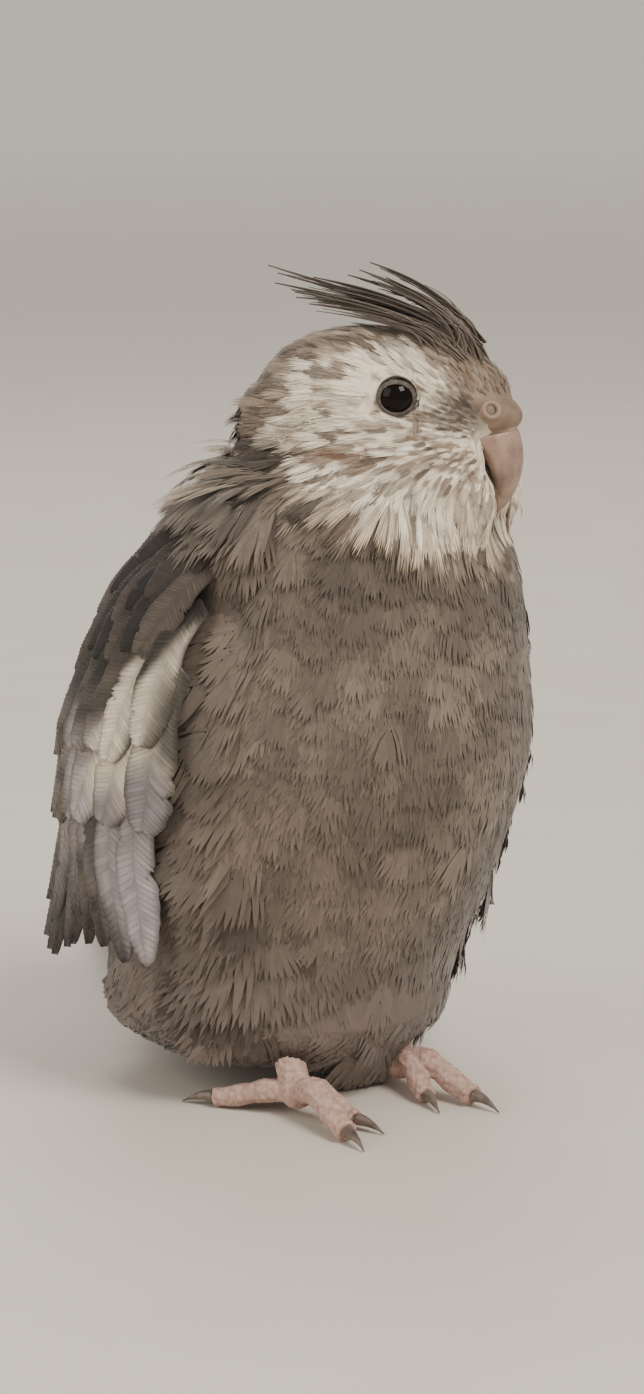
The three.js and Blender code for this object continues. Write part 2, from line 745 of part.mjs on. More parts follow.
export default bird;
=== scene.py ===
"""A fluffed cockatiel standing on a pale studio floor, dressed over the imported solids.

Lengths are in millimetres in the bird's own frame, the one its solids are drawn in, and become metres
in the mesh makers. The bird faces -Y, its left is +X and it stands at Z = 0.
"""
import math

import bpy
import numpy as np
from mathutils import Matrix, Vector
from mathutils.bvhtree import BVHTree
from mathutils.kdtree import KDTree


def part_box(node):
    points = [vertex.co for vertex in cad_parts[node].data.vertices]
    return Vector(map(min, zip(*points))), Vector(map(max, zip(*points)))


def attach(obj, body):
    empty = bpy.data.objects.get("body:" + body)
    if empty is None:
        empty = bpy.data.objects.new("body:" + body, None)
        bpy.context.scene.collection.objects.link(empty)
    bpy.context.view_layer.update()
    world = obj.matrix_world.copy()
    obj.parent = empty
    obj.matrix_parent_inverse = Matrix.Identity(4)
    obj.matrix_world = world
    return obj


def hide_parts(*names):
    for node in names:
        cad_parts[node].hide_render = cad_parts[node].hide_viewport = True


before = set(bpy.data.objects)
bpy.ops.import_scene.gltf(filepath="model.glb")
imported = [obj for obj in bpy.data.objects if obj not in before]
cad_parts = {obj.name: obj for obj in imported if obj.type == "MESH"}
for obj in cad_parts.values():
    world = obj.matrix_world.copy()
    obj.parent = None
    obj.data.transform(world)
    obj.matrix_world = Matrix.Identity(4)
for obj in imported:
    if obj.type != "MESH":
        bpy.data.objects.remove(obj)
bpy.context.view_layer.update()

MM = 0.001
RNG = np.random.default_rng(20)
SIDES = {"left": 1, "right": -1}
UP = np.array([0.0, 0.0, 1.0])

# Sizes shared with the solids.
HEAD_MIDDLE = np.array([1.0, -22.0, 122.6])
HEAD_TURN = math.radians(34)
HEAD_DIP = math.radians(4)
EYE = np.array([5.7, 9.6, 8.0])
EYE_RADIUS = 3.6
BODY_SECTIONS = np.array([
    # level, middle along Y, half width, reach forward, reach back
    [5, 9.5, 31.5, 33, 31],
    [24, 9, 35, 36.5, 34.5],
    [37, 8, 39, 42, 39],
    [50, 5, 40.5, 45.5, 43],
    [66, 0.5, 41, 46.5, 43.5],
    [81, -3.5, 38.5, 42.5, 41],
    [93, -8, 35.5, 37.5, 37],
    [104, -13, 30.5, 31, 34],
    [112, -15.5, 26, 26, 31.5],
    [121, -17, 21, 20, 28],
])
WING_STRAIGHT_BELOW = 46
TAIL_ROOT = np.array([0.0, 36.0, 26.0])
TAIL_LENGTH = 142
TAIL_SWING = math.radians(25)

# Numpy helpers.


def unit(v):
    return v / np.maximum(np.linalg.norm(v, axis=-1, keepdims=True), 1e-9)


def dot(a, b):
    return (a * b).sum(-1, keepdims=True)


def smooth(x, low, high):
    t = np.clip((x - low) / (high - low), 0, 1)
    return t * t * (3 - 2 * t)


def mix(a, b, t):
    return a + (b - a) * t


def colour(*srgb):
    """Linear colour from 0-255 display values."""
    c = np.array(srgb) / 255
    return np.where(c <= 0.04045, c / 12.92, ((c + 0.055) / 1.055) ** 2.4)


# The bird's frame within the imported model's frame.

head_bearing = HEAD_TURN - math.pi / 2
turned_round = np.array([
    [math.cos(head_bearing), -math.sin(head_bearing), 0],
    [math.sin(head_bearing), math.cos(head_bearing), 0],
    [0, 0, 1],
])
dipped = np.array([
    [math.cos(HEAD_DIP), 0, math.sin(HEAD_DIP)],
    [0, 1, 0],
    [-math.sin(HEAD_DIP), 0, math.cos(HEAD_DIP)],
])
HEAD_AXES = turned_round @ dipped  # columns: forward, left, up


def from_head(points):
    """Forward, left and up in the head to the bird's frame."""
    return HEAD_MIDDLE + np.asarray(points, float) @ HEAD_AXES.T


def in_head(points):
    """The bird's frame to forward, left and up in the head."""
    return (points - HEAD_MIDDLE) @ HEAD_AXES


def box_middle(node):
    """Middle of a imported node's box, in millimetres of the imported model's frame."""
    low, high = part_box(node)
    return np.array((low + high) / 2) / MM


EYE_MIDDLES = {side: from_head(EYE * (1, sign, 1)) for side, sign in SIDES.items()}
ORIGIN = np.mean([box_middle(f"{side}_eye") - EYE_MIDDLES[side] for side in SIDES], axis=0)
ORIGIN[2] = 0

# Meshes.


def new_object(name, data):
    made = bpy.data.objects.new(name, data)
    bpy.context.scene.collection.objects.link(made)
    return made


def gathered(items, field, width, kind=float):
    """One property of all items, a row for each."""
    values = np.zeros(len(items) * width, kind)
    items.foreach_get(field, values)
    return values.reshape(-1, width)


def make_piece(name, points, faces, material, replaces=(), tint=None, uv=None):
    """A mesh object from points in the bird's frame, with a colour and an unwrap for each point."""
    mesh = bpy.data.meshes.new(name)
    points = (np.asarray(points, float) + ORIGIN) * MM
    faces = np.asarray(faces)
    mesh.vertices.add(len(points))
    mesh.vertices.foreach_set("co", points.ravel())
    mesh.loops.add(faces.size)
    mesh.loops.foreach_set("vertex_index", faces.ravel())
    mesh.polygons.add(len(faces))
    mesh.polygons.foreach_set("loop_start", np.arange(0, faces.size, faces.shape[1]))
    mesh.polygons.foreach_set("use_smooth", np.ones(len(faces), bool))
    mesh.update(calc_edges=True)
    if tint is not None:
        layer = mesh.color_attributes.new("Tint", "FLOAT_COLOR", "POINT")
        rgba = np.ones((len(points), 4))
        rgba[:, :3] = tint
        layer.data.foreach_set("color", rgba.ravel())
    if uv is not None:
        layer = mesh.uv_layers.new(name="OFBake")
        layer.data.foreach_set("uv", np.asarray(uv)[faces.ravel()].ravel())
    mesh.materials.append(material)
    piece = new_object(name, mesh)
    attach(piece, "root")
    if replaces:
        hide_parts(*replaces)


def node_mesh(node):
    """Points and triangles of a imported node, in the bird's frame."""
    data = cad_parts[node].data
    data.calc_loop_triangles()
    points = gathered(data.vertices, "co", 3) / MM - ORIGIN
    return points, gathered(data.loop_triangles, "vertices", 3, int)


def remeshed(parts, voxel, smoothing):
    """One even quad skin round several closed meshes, smoothed: its points, normals and quads."""
    points, faces, start = [], [], 0
    for part_points, part_faces in parts:
        points.append(part_points)
        faces.append(part_faces + start)
        start += len(part_points)
    mesh = bpy.data.meshes.new("work")
    mesh.from_pydata(np.vstack(points).tolist(), [], np.vstack(faces).tolist())
    work = new_object("work", mesh)
    remesh = work.modifiers.new("remesh", "REMESH")
    remesh.mode = "VOXEL"
    remesh.voxel_size = voxel
    relax = work.modifiers.new("relax", "SMOOTH")
    relax.factor = 0.5
    relax.iterations = smoothing
    made = work.evaluated_get(bpy.context.evaluated_depsgraph_get()).to_mesh()
    points = gathered(made.vertices, "co", 3)
    normals = gathered(made.vertices, "normal", 3)
    quads = gathered(made.loops, "vertex_index", 1, int).reshape(-1, 4)
    work.to_mesh_clear()
    bpy.data.objects.remove(work)
    bpy.data.meshes.remove(mesh)
    return points, normals, quads


def ellipsoid(middle, reach):
    """A closed stretched ball drawn in the head's frame, brought to the bird's."""
    rows, columns = 24, 36
    tilt = np.linspace(0, math.pi, rows + 1)[1:-1, None]
    around = np.linspace(0, 2 * math.pi, columns, endpoint=False)
    ring = np.stack([
        np.sin(tilt) * np.cos(around),
        np.sin(tilt) * np.sin(around),
        np.cos(tilt) + 0 * around,
    ], -1).reshape(-1, 3)
    points = np.vstack([ring, [[0, 0, 1], [0, 0, -1]]]) * reach + middle
    faces = []
    top, bottom, last = len(ring), len(ring) + 1, (rows - 2) * columns
    for j in range(columns):
        k = (j + 1) % columns
        faces += [(top, j, k), (bottom, last + k, last + j)]
        for i in range(rows - 2):
            a, b = i * columns + j, i * columns + k
            faces += [(a, a + columns, b + columns), (a, b + columns, b)]
    return from_head(points), np.array(faces)


# Materials.


def new_material(name):
    """A material, its node tree and its shader."""
    material = bpy.data.materials.new(name)
    material.use_nodes = True
    return material, material.node_tree, material.node_tree.nodes["Principled BSDF"]


def set_inputs(tree, node, inputs):
    """Gives each input a constant, or links it to another node's socket."""
    for name, value in inputs.items():
        if isinstance(value, bpy.types.NodeSocket):
            tree.links.new(value, node.inputs[name])
        else:
            node.inputs[name].default_value = value


def add_node(tree, kind, inputs, output, **settings):
    """A new node's output, once its properties and inputs are set."""
    node = tree.nodes.new("ShaderNode" + kind)
    for name, value in settings.items():
        setattr(node, name, value)
    set_inputs(tree, node, inputs)
    return node.outputs[output]


def noise(tree, scale, detail):
    """Noise over the object's own place, `scale` to a metre."""
    place = add_node(tree, "TexCoord", {}, "Object")
    return add_node(tree, "TexNoise", {"Vector": place, "Scale": scale, "Detail": detail}, "Fac")


def about(tree, value, middle, reach):
    """Brings a share from 0 to 1 to `reach` on both sides of `middle`."""
    ends = {"Value": value, "To Min": middle - reach, "To Max": middle + reach}
    return add_node(tree, "MapRange", ends, "Result")


def relief(tree, height, strength):
    bumps = {"Height": height, "Strength": strength, "Distance": 0.0002}
    return add_node(tree, "Bump", bumps, "Normal")


def ramp(tree, factor, first, last, positions=(0.0, 1.0)):
    """A colour between two, by `factor`."""
    colours = add_node(tree, "ValToRGB", {"Fac": factor}, "Color")
    for element, tone, position in zip(colours.node.color_ramp.elements, (first, last), positions):
        element.color = (*tone, 1)
        element.position = position
    return colours


def feather_material(name, roughness, sheen, variation=0.16):
    """Feathers coloured by their own marking, mottled finely."""
    material, tree, shader = new_material(name)
    tint = add_node(tree, "VertexColor", {}, "Color", layer_name="Tint")
    factor = about(tree, noise(tree, 420, 4), 1, variation)
    scaled = add_node(tree, "VectorMath", {0: tint, "Scale": factor}, 0, operation="SCALE")
    fine = noise(tree, 2600, 2)
    set_inputs(tree, shader, {
        "Base Color": scaled,
        "Normal": relief(tree, fine, 0.25),
        "Roughness": about(tree, fine, roughness, 0.06),
        "Specular IOR Level": 0.25,
        "Sheen Weight": sheen,
        "Sheen Roughness": 0.5,
    })
    return material


def bare_material(name, base, dark, scale, roughness, bump=0.3, subsurface=0.0):
    """Bare skin or horn, mottled between two colours, with a fine relief."""
    material, tree, shader = new_material(name)
    grain = noise(tree, scale * 5, 3)
    set_inputs(tree, shader, {
        "Base Color": ramp(tree, noise(tree, scale, 4), dark, base, (0.3, 0.62)),
        "Normal": relief(tree, grain, bump),
        "Roughness": about(tree, grain, roughness, 0.08),
        "Specular IOR Level": 0.4,
        "Subsurface Weight": subsurface,
        "Subsurface Radius": (0.0012, 0.0006, 0.0004),
    })
    return material


COAT = feather_material("coat", 0.85, 0.2, 0.1)
VANE = feather_material("vane", 0.6, 0.1, 0.1)
UNDERCOAT = feather_material("undercoat", 0.9, 0.1)

# Markings, the same on the skin and on the coat.

GREY = colour(104, 93, 84)
PALE_GREY = colour(130, 117, 105)
VENT_GREY = colour(116, 105, 99)
DARK_GREY = colour(66, 58, 52)
CHARCOAL = colour(36, 32, 30)
WHITE = colour(228, 215, 196)
CREAM = colour(186, 169, 148)
TAN = colour(126, 107, 90)
CROWN_GREY = colour(124, 109, 94)
LAVENDER = colour(172, 163, 164)
RUST = colour(118, 84, 70)


def patch(values, middle, reach):
    """1 at the middle of an oval patch, 0 outside it."""
    away = np.sqrt((((values - middle) / reach) ** 2).sum(-1))
    return 1 - smooth(away, 0.4, 1.0)


def face_share(points):
    """How far a place belongs to the white face, from 0 to 1."""
    head = in_head(points)
    forward, side, up = head[:, 0], np.abs(head[:, 1]), head[:, 2]
    low_edge = smooth(up + 0.27 * forward, -7.6, -4.2)
    back_edge = smooth(forward - 0.3 * up, -16, -7)
    top_edge = 1 - smooth(up - 0.1 * (forward - 5), 11, 17)
    side_edge = mix(smooth(side, 1.0, 5.0), 1, smooth(-up, 0, 6))
    near_head = 1 - smooth(np.linalg.norm(head / (30, 21, 27), axis=1), 1.0, 1.08)
    return low_edge * back_edge * top_edge * side_edge * near_head


def waves(points, size, seed):
    """Soft blotches between 0 and 1, about `size` across."""
    draw = np.random.default_rng(seed)
    total = np.zeros(len(points))
    for _ in range(7):
        way = unit(draw.normal(size=3)) * draw.uniform(0.7, 1.5) * 2 * math.pi / size
        total += np.sin(points @ way + draw.uniform(0, 6.28))
    return smooth(total, -3.2, 3.2)


def body_colour(points, draw):
    """The grey of breast, belly and back: soft paler scallops, darker towards the back and the vent,
    and a painted shadow round the neck below the head.
    """
    right, behind, level = -points[:, 0:1], points[:, 1:2], points[:, 2:3]
    blotch = waves(points, 13, 3)[:, None]
    fleck = waves(points, 11, 4)[:, None]
    made = mix(GREY * 0.9, PALE_GREY, 0.65 * smooth(blotch, 0.1, 0.9))
    made = mix(made, VENT_GREY, 0.6 * (1 - smooth(level, 30, 60)))
    made = mix(made, DARK_GREY, 0.3 * smooth(fleck, 0.35, 1.0))
    made = made * mix(0.95, 1.06, draw)
    made = mix(made, DARK_GREY, 0.4 * smooth(behind, 12, 30))
    # Painted shadow: a darker band round the neck just below the head.
    made = mix(made, DARK_GREY, 0.35 * smooth(level, 92, 104) * (1 - smooth(level, 108, 118)))
    wisp = smooth(right, 8, 24) * (1 - smooth(level, 40, 62)) * (draw > 0.8)
    return mix(made, CHARCOAL, 0.55 * wisp)


def markings(points, draw):
    """Linear colour of the plumage at each root, with painted shadow under the head and painted shade
    at the nape; `draw` is a random number for each feather.
    """
    draw = draw[:, None]
    head = in_head(points)
    flat = head[:, [0, 2]]
    forward, up = head[:, 0:1], head[:, 2:3]
    near = np.abs(head[:, 1:2])
    body = body_colour(points, draw)
    wide_streak = waves(head * (0.3, 1.3, 1.3), 6.5, 5)[:, None]
    fine_streak = waves(head * (0.2, 1.5, 1.5), 2.6, 6)[:, None]
    streak = np.clip(0.45 * wide_streak + 0.4 * fine_streak + 0.4 * (draw - 0.3), 0, 1)
    crown = mix(CROWN_GREY * 0.7, CREAM, smooth(streak, 0.35, 0.7))
    crown = mix(crown, DARK_GREY, 0.6 * (draw > 0.88))
    on_head = 1 - smooth(np.linalg.norm(head / (27, 19, 23), axis=1), 0.98, 1.12)[:, None]
    made = mix(body, crown, on_head)
    white = mix(WHITE, TAN, 0.85 * smooth(streak, 0.48, 0.72))
    white = mix(white, DARK_GREY, 0.55 * (draw > 0.9))
    beard = smooth(-up, 4, 9) * smooth(forward, 0, 8)
    white = mix(white, WHITE, 0.7 * beard)
    face = face_share(points)[:, None] + 0.5 * (draw - 0.5)
    made = mix(made, white, smooth(face, 0.3, 0.62))
    behind_eye = smooth(-forward, 1, 12) * smooth(up, -8, 2)
    made = mix(made, CROWN_GREY, 0.85 * behind_eye * smooth(streak, 0.35, 0.65) * on_head)
    side = smooth(near, 4, 7)
    forehead = smooth(forward + 0.3 * (up - 10), 12.5, 16.5) * smooth(up, 3, 8) * on_head
    made = mix(made, mix(CROWN_GREY, TAN, smooth(streak, 0.3, 0.7)), 0.9 * forehead)
    lore = patch(flat, (17.6, 5.2), (6.8, 3.6))[:, None]
    made = mix(made, DARK_GREY, 0.9 * lore * mix(0.7, 1.0, draw))
    ear = patch(flat, (2.6, -1.8), (3.6, 0.9)) + patch(flat, (0.4, 3.6), (2.2, 0.8))
    made = mix(made, RUST, 0.75 * np.clip(ear, 0, 1)[:, None] * side)
    gape = np.exp(-(((up + 1.5 - 0.5 * (forward - 16)) / 0.9) ** 2))
    gape = gape * smooth(forward, 2, 8) * (1 - smooth(forward, 15, 18)) * side
    made = mix(made, DARK_GREY, 0.6 * gape * (draw > 0.35))
    # Painted shadow: a charcoal band along the underside of the head, where it overhangs the neck.
    under = patch(flat, (-3.5, -8.6), (6.5, 2.0))[:, None] * smooth(draw, 0.3, 0.5)
    # Painted shade: charcoal blotches low at the back of the head, for the shade between the raised
    # feathers there.
    nape_gap_shade = patch(flat, (-14, -5.5), (9.5, 7.0))[:, None]
    nape_gap_shade = nape_gap_shade * smooth(draw + 0.6 * (wide_streak - 0.5), 0.32, 0.5)
    return mix(made, CHARCOAL, np.clip(0.8 * under + 0.85 * nape_gap_shade, 0, 1) * side)


# The skin under the coat.

COAT_DEPTH = 1.7
SKIN_VOXEL = 1.3
SKIN_TONE = 1.05  # the skin next to the coat's colours
BILL_POCKET = 1.9  # how far the skin draws back behind the bill
UNWRAP_MIDDLE = np.array([0.0, 0.0, 72.0])
UNWRAP_MARGIN = 0.03
crown_fill = ellipsoid((-5, 0, 2.5), (19.8, 13.8, 16.3))
brow_fill = ellipsoid((9, 0, 6.5), (16.6, 8.6, 12.6))
flesh = [node_mesh(node) for node in ("torso", "neck", "head")]
skin_points, skin_normals, skin_faces = remeshed([*flesh, crown_fill, brow_fill], SKIN_VOXEL, 3)
skin_points = skin_points - skin_normals * COAT_DEPTH
forward, left, up = in_head(skin_points).T
pocket = smooth(forward, 17, 20) * (1 - smooth(np.abs(left), 5.5, 8))
pocket = pocket * smooth(up, -7, -3) * (1 - smooth(up, 2, 4))
skin_points = skin_points - BILL_POCKET * pocket[:, None] * HEAD_AXES[:, 0]


def unwrap(points):
    """A place on the unwrapped skin: the bearing and the height as seen from inside the bird."""
    away = points - UNWRAP_MIDDLE
    bearing = np.arctan2(away[:, 0], -away[:, 1]) / (2 * math.pi) + 0.5
    height = np.arctan2(away[:, 2], np.hypot(away[:, 0], away[:, 1])) / math.pi + 0.5
    return UNWRAP_MARGIN + (1 - 2 * UNWRAP_MARGIN) * np.stack([bearing, height], 1)


make_piece(
    "skin",
    skin_points,
    skin_faces,
    UNDERCOAT,
    replaces=("torso", "neck", "head"),
    tint=markings(skin_points, np.full(len(skin_points), 0.4)) * SKIN_TONE,
    uv=unwrap(skin_points),
)
SKIN_TREE = BVHTree.FromPolygons(skin_points.tolist(), skin_faces.tolist())

# Laying feathers over the skin.

NEARBY = [(i, j, k) for i in (-1, 0, 1) for j in (-1, 0, 1) for k in (-1, 0, 1)]


def thinned(places, apart, cell):
    """Indexes of the places that stand `apart` from all kept before; under 0 it is never kept."""
    grid, kept = {}, []
    for index, (place, reach) in enumerate(zip(places.tolist(), apart.tolist())):
        if reach <= 0:
            continue
        x, y, z = place
        cx, cy, cz = (int(v // cell) for v in place)
        if any(
            (a - x) ** 2 + (b - y) ** 2 + (c - z) ** 2 < min(reach, other) ** 2
            for i, j, k in NEARBY
            for a, b, c, other in grid.get((cx + i, cy + j, cz + k), ())
        ):
            continue
        grid.setdefault((cx, cy, cz), []).append((x, y, z, reach))
        kept.append(index)
    return kept


def scattered(count_tried, spacing):
    """Places on the skin as far apart as `spacing` says for each, with the skin's normals there."""
    corners = skin_points[skin_faces]
    face_normals = np.cross(corners[:, 1] - corners[:, 0], corners[:, 2] - corners[:, 0])
    areas = np.linalg.norm(face_normals, axis=1)
    picked = RNG.choice(len(areas), count_tried, p=areas / areas.sum())
    across, along = RNG.random((2, count_tried, 1))
    quad = corners[picked]
    low = mix(quad[:, 0], quad[:, 1], across)
    high = mix(quad[:, 3], quad[:, 2], across)
    places = mix(low, high, along)
    kept = thinned(places, spacing(places), 4.0)
    return places[kept], unit(face_normals[picked])[kept]


BARB_FACES = np.array([[0, 2, 3], [0, 3, 1], [2, 4, 5], [2, 5, 3], [4, 6, 5]])
BARB_POINTS = 7
BARB_STATIONS = ((0.0, 0.7), (0.4, 1.0), (0.75, 0.7), (1.0, 0.0))  # along the barb, share of its width
SPINE_STEPS = 4
SKIN_REACH = 5  # a feather that comes further off the skin runs on straight
FEATHER_KINDS = 6
BAKE_PATCH = 0.003
ROOT_SINK = 0.3
COAT_FLOOR = 0.3  # no body feather hangs lower
PIECE_TRIANGLES = 190_000  # a multiple of one barb's five


def barb_template(barbs, spread, rounded, seed):
    """One feather laid flat: barbs that leave the shaft and sweep to its tip.

    Returns how far along, 0 to 1, and across, -1 to 1, each point lies."""
    draw = np.random.default_rng(seed)
    along, across = [], []
    for i in range(barbs):
        share = (i + 0.5) / barbs
        side = 1 if i % 2 else -1
        start = 0.05 + 0.55 * share * draw.uniform(0.8, 1.1)
        reach = side * spread * (1 - share ** 1.6) * draw.uniform(0.75, 1.1)
        end = mix(0.74, 1.0, share ** 0.7) * draw.uniform(0.9, 1.05)
        end = mix(end, draw.uniform(0.8, 1.05), 1 - rounded)
        thick = draw.uniform(0.085, 0.12)
        for t, wide in BARB_STATIONS:
            place = mix(start, end, t)
            offset = reach * (t ** 0.6) * 0.9 + reach * 0.1 * t
            for edge in (-1, 1) if wide else (0,):
                along.append(place)
                across.append(offset + edge * thick * wide)
    return np.array(along), np.array(across)


def lay_feathers(
    roots, normals, directions, lengths, widths, lift, tints, curl,
    barbs, spread, rounded, variety,
):
    """Bends a flat feather along the skin from each root. Returns points, faces, tint and unwrap."""
    count, steps = len(roots), SPINE_STEPS
    spine = np.zeros((steps, count, 3))
    over = np.zeros((steps, count, 3))
    heading = unit(directions)
    spine[0], over[0] = roots, normals
    for i in range(1, steps):
        guess = spine[i - 1] + heading * (lengths / (steps - 1))[:, None]
        for k in range(count):
            place, normal, _, away = SKIN_TREE.find_nearest(Vector(guess[k]))
            if place is None or away > SKIN_REACH:
                spine[i, k], over[i, k] = guess[k], over[i - 1, k]
            else:
                spine[i, k] = mix(np.array(place), guess[k], curl[k])
                over[i, k] = normal
        heading = unit(spine[i] - spine[i - 1])
    over = unit(over)
    chosen = RNG.integers(0, FEATHER_KINDS, count)
    flip = RNG.choice([-1, 1], count)
    per = barbs * BARB_POINTS
    points = np.zeros((count, per, 3))
    local = np.zeros((count, per, 2))
    for kind in range(FEATHER_KINDS):
        along, across = barb_template(barbs, spread, rounded, 100 + kind)
        mine = np.flatnonzero(chosen == kind)
        where = along * (steps - 1)
        low = np.clip(where.astype(int), 0, steps - 2)
        part = (where - low)[:, None, None]
        base = mix(spine[low][:, mine], spine[low + 1][:, mine], part)
        out = unit(mix(over[low][:, mine], over[low + 1][:, mine], part))
        ahead = unit(spine[low + 1][:, mine] - spine[low][:, mine])
        sideways = np.cross(ahead, out)
        wide = (across[:, None] * flip[mine] * widths[mine])[..., None]
        height = mix(-ROOT_SINK, lift[mine], along[:, None] ** 0.8)
        height = height - 0.12 * np.abs(across[:, None]) * widths[mine]
        made = base + sideways * wide + out * height[..., None]
        points[mine] = made.transpose(1, 0, 2)
        local[mine] = np.stack([across, along], 1)
    starts = BARB_POINTS * np.arange(count * barbs)[:, None, None]
    faces = (starts + BARB_FACES).reshape(-1, 3)
    points[..., 2] = np.maximum(points[..., 2], COAT_FLOOR)
    shade = mix(0.95, 1.06, local[..., 1:2] ** 0.6)
    barb_shade = np.clip(RNG.normal(1, variety, (count, barbs)), 0.5, 1.15)
    barb_shade = np.repeat(barb_shade, BARB_POINTS, axis=1)[..., None]
    tint = tints[:, None, :] * shade * barb_shade
    uv = unwrap(roots)[:, None, :] + (local - (0, 0.5)) * BAKE_PATCH * (0.5, 1)
    return points.reshape(-1, 3), faces, np.clip(tint.reshape(-1, 3), 0, 1), uv.reshape(-1, 2)


def add_coat(name, feathers):
    """Splits laid feathers into pieces of whole barbs."""
    points, faces, tint, uv = feathers
    for part, start in enumerate(range(0, len(faces), PIECE_TRIANGLES)):
        mine = faces[start:start + PIECE_TRIANGLES]
        low, high = mine.min(), mine.max() + 1
        make_piece(
            f"{name}_{part + 1}", points[low:high], mine - low, COAT,
            tint=tint[low:high], uv=uv[low:high],
        )


BILL_BASE = from_head([23, 0, 2])
BARE_BY_EYE = 3.6
# Bare places by the bill, in the head: most to the side, least forward, lowest and highest.
BARE_BOXES = (
    (5.6, 19.6, 2.5, 8.5),  # cere
    (6.4, 19.4, -6.0, 2.5),  # bill
    (4.8, 19.4, -11.0, -6.0),  # chin
)


def head_share(points):
    """1 on the head, 0 on the body."""
    return 1 - smooth(np.linalg.norm(in_head(points) / (27, 19.5, 24), axis=1), 0.95, 1.12)


def bare_places(points):
    """1 where the eye or the bill leaves no room for feathers, 0 elsewhere."""
    bare = np.zeros(len(points))
    for middle in EYE_MIDDLES.values():
        bare = np.maximum(bare, np.linalg.norm(points - middle, axis=1) < BARE_BY_EYE)
    head = in_head(points)
    forward, side, up = head[:, 0], np.abs(head[:, 1]), head[:, 2]
    for widest, front, lowest, highest in BARE_BOXES:
        boxed = (side < widest) & (forward > front) & (up > lowest) & (up <= highest)
        bare = np.maximum(bare, boxed)
    return bare


def lie(points, normals):
    """The way the plumage lies at each place, not yet flattened to the skin."""
    share = head_share(points)[:, None]
    head = in_head(points)
    forward, up = head[:, 0:1], head[:, 2:3]
    away = unit(points - BILL_BASE)
    drop = smooth(-up, 0, 9)
    crest_pull = smooth(up, 11, 17) * smooth(forward, -2, 8)
    on_head = unit(away + drop * (0, 0, -0.9) + crest_pull * (HEAD_AXES @ (-1.6, 0, 0.5)))
    cheek = smooth(-up, 2, 8) * smooth(forward, 4, 12)
    on_head = unit(on_head + cheek * (HEAD_AXES @ (0.55, 0, -0.6)))
    on_body = np.array([0, 0.28, -1.0])
    hanging = smooth(-normals[:, 2:3], 0.35, 0.9)
    on_flank = smooth(np.abs(points[:, 0:1]), 22, 36) * smooth(points[:, 2:3], 20, 40)
    on_body = unit(on_body + hanging * np.array([0, 0.1, -0.6]) + on_flank * np.array([0, 0.7, 0.15]))
    return unit(mix(on_body, on_head, share))


BODY_SPACING = 1.72
HEAD_SPACING = (0.62, 1.15)  # by the bill, and at the back of the head


def coat_spacing(points):
    """How far apart feathers stand at each place, and -1 where there are none."""
    near_bill = np.linalg.norm(points - BILL_BASE, axis=1)
    on_head = mix(*HEAD_SPACING, smooth(near_bill, 6, 30))
    apart = mix(BODY_SPACING, on_head, head_share(points))
    return np.where(bare_places(points) > 0, -1, apart)


roots, normals = scattered(220_000, coat_spacing)
share = head_share(roots)
near_bill = np.linalg.norm(roots - BILL_BASE, axis=1)
level = roots[:, 2]
head_places = in_head(roots)
forward, up = head_places[:, 0], head_places[:, 2]
beard = smooth(-up, 3, 10) * smooth(forward, -4, 8)
forelock = smooth(up, 12, 17) * smooth(forward, 4, 14)
nape = smooth(-forward, 6, 15) * smooth(up, -20, -12) * (1 - smooth(up, -8, -1))
hind = smooth(-forward, 8, 16) * smooth(up, -12, -6) * (1 - smooth(up, 4, 10))
head_length = mix(2.2, 9.5, smooth(near_bill, 4, 32))
head_length = head_length + 4 * beard + 5 * forelock + 3 * nape + 2 * hind
body_length = mix(16, 11, smooth(level, 30, 105)) + 4 * smooth(-normals[:, 2], 0.2, 0.8) + 3 * nape
lengths = mix(body_length, head_length, share) * RNG.uniform(0.85, 1.2, len(roots))
hang = smooth(-normals[:, 2], 0.3, 0.8) * (1 - share)
swirl = 0.3 * (waves(roots, 21, 8) - 0.5)
stray = RNG.normal(0, 1, len(roots)) * (0.1 + 0.2 * nape)
ways = lie(roots, normals)
ways = unit(ways - normals * dot(ways, normals))
turns = (swirl + stray)[:, None]
ways = ways * np.cos(turns) + np.cross(normals, ways) * np.sin(turns)
ruffled = RNG.random(len(roots)) > 0.96 - 0.16 * nape - 0.08 * share
raised = np.where(ruffled, 1.8 + 0.7 * nape, 1.0)
body_lift = mix(0.5, 0.9, smooth(-level, -26, -10))
bearing = np.degrees(np.arctan2(np.abs(roots[:, 0]), -roots[:, 1]))
flank = smooth(bearing, 44, 54) * (1 - smooth(bearing, 60, 72))
flank = flank * smooth(level, 14, 30) * (1 - smooth(level, 88, 98))
ways = unit(ways + 0.5 * flank[:, None] * np.array([0, 1.0, -0.3]))
lengths = lengths + 4 * flank
lifts = mix(body_lift, 0.5 + 0.8 * beard + 1.6 * hind, share) + 1.5 * nape + 2.3 * flank
coat = dict(
    roots=roots, normals=normals, directions=ways, lengths=lengths,
    widths=lengths * mix(0.32, 0.12, share),
    lift=lifts * RNG.uniform(0.6, 1.3, len(roots)) * raised,
    tints=markings(roots, RNG.random(len(roots))),
    curl=np.clip(0.1 + 0.6 * hang + 0.3 * beard + 0.15 * nape + 0.3 * flank, 0, 1),
)
on_head = share > 0.5
for name, mine, kind in (
    ("coat", ~on_head, dict(barbs=13, spread=1.0, rounded=0.85, variety=0.07)),
    ("head_coat", on_head, dict(barbs=9, spread=0.9, rounded=0.6, variety=0.24)),
):
    add_coat(name, lay_feathers(**{key: value[mine] for key, value in coat.items()}, **kind))

# Flight feathers.


def body_point(side, angle, level, lift):
    """A point on the body at an angle in degrees from straight ahead, `lift` outside its surface."""
    levels, *measures = BODY_SECTIONS.T
    middle, half, front, back = (np.interp(level, levels, measure) for measure in measures)
    turn = np.radians(angle)
    reach = np.where(np.cos(turn) > 0, front, back) + lift
    return np.stack([
        side * (half + lift) * np.sin(turn),
        middle - reach * np.cos(turn),
        level + 0 * turn,
    ], -1)


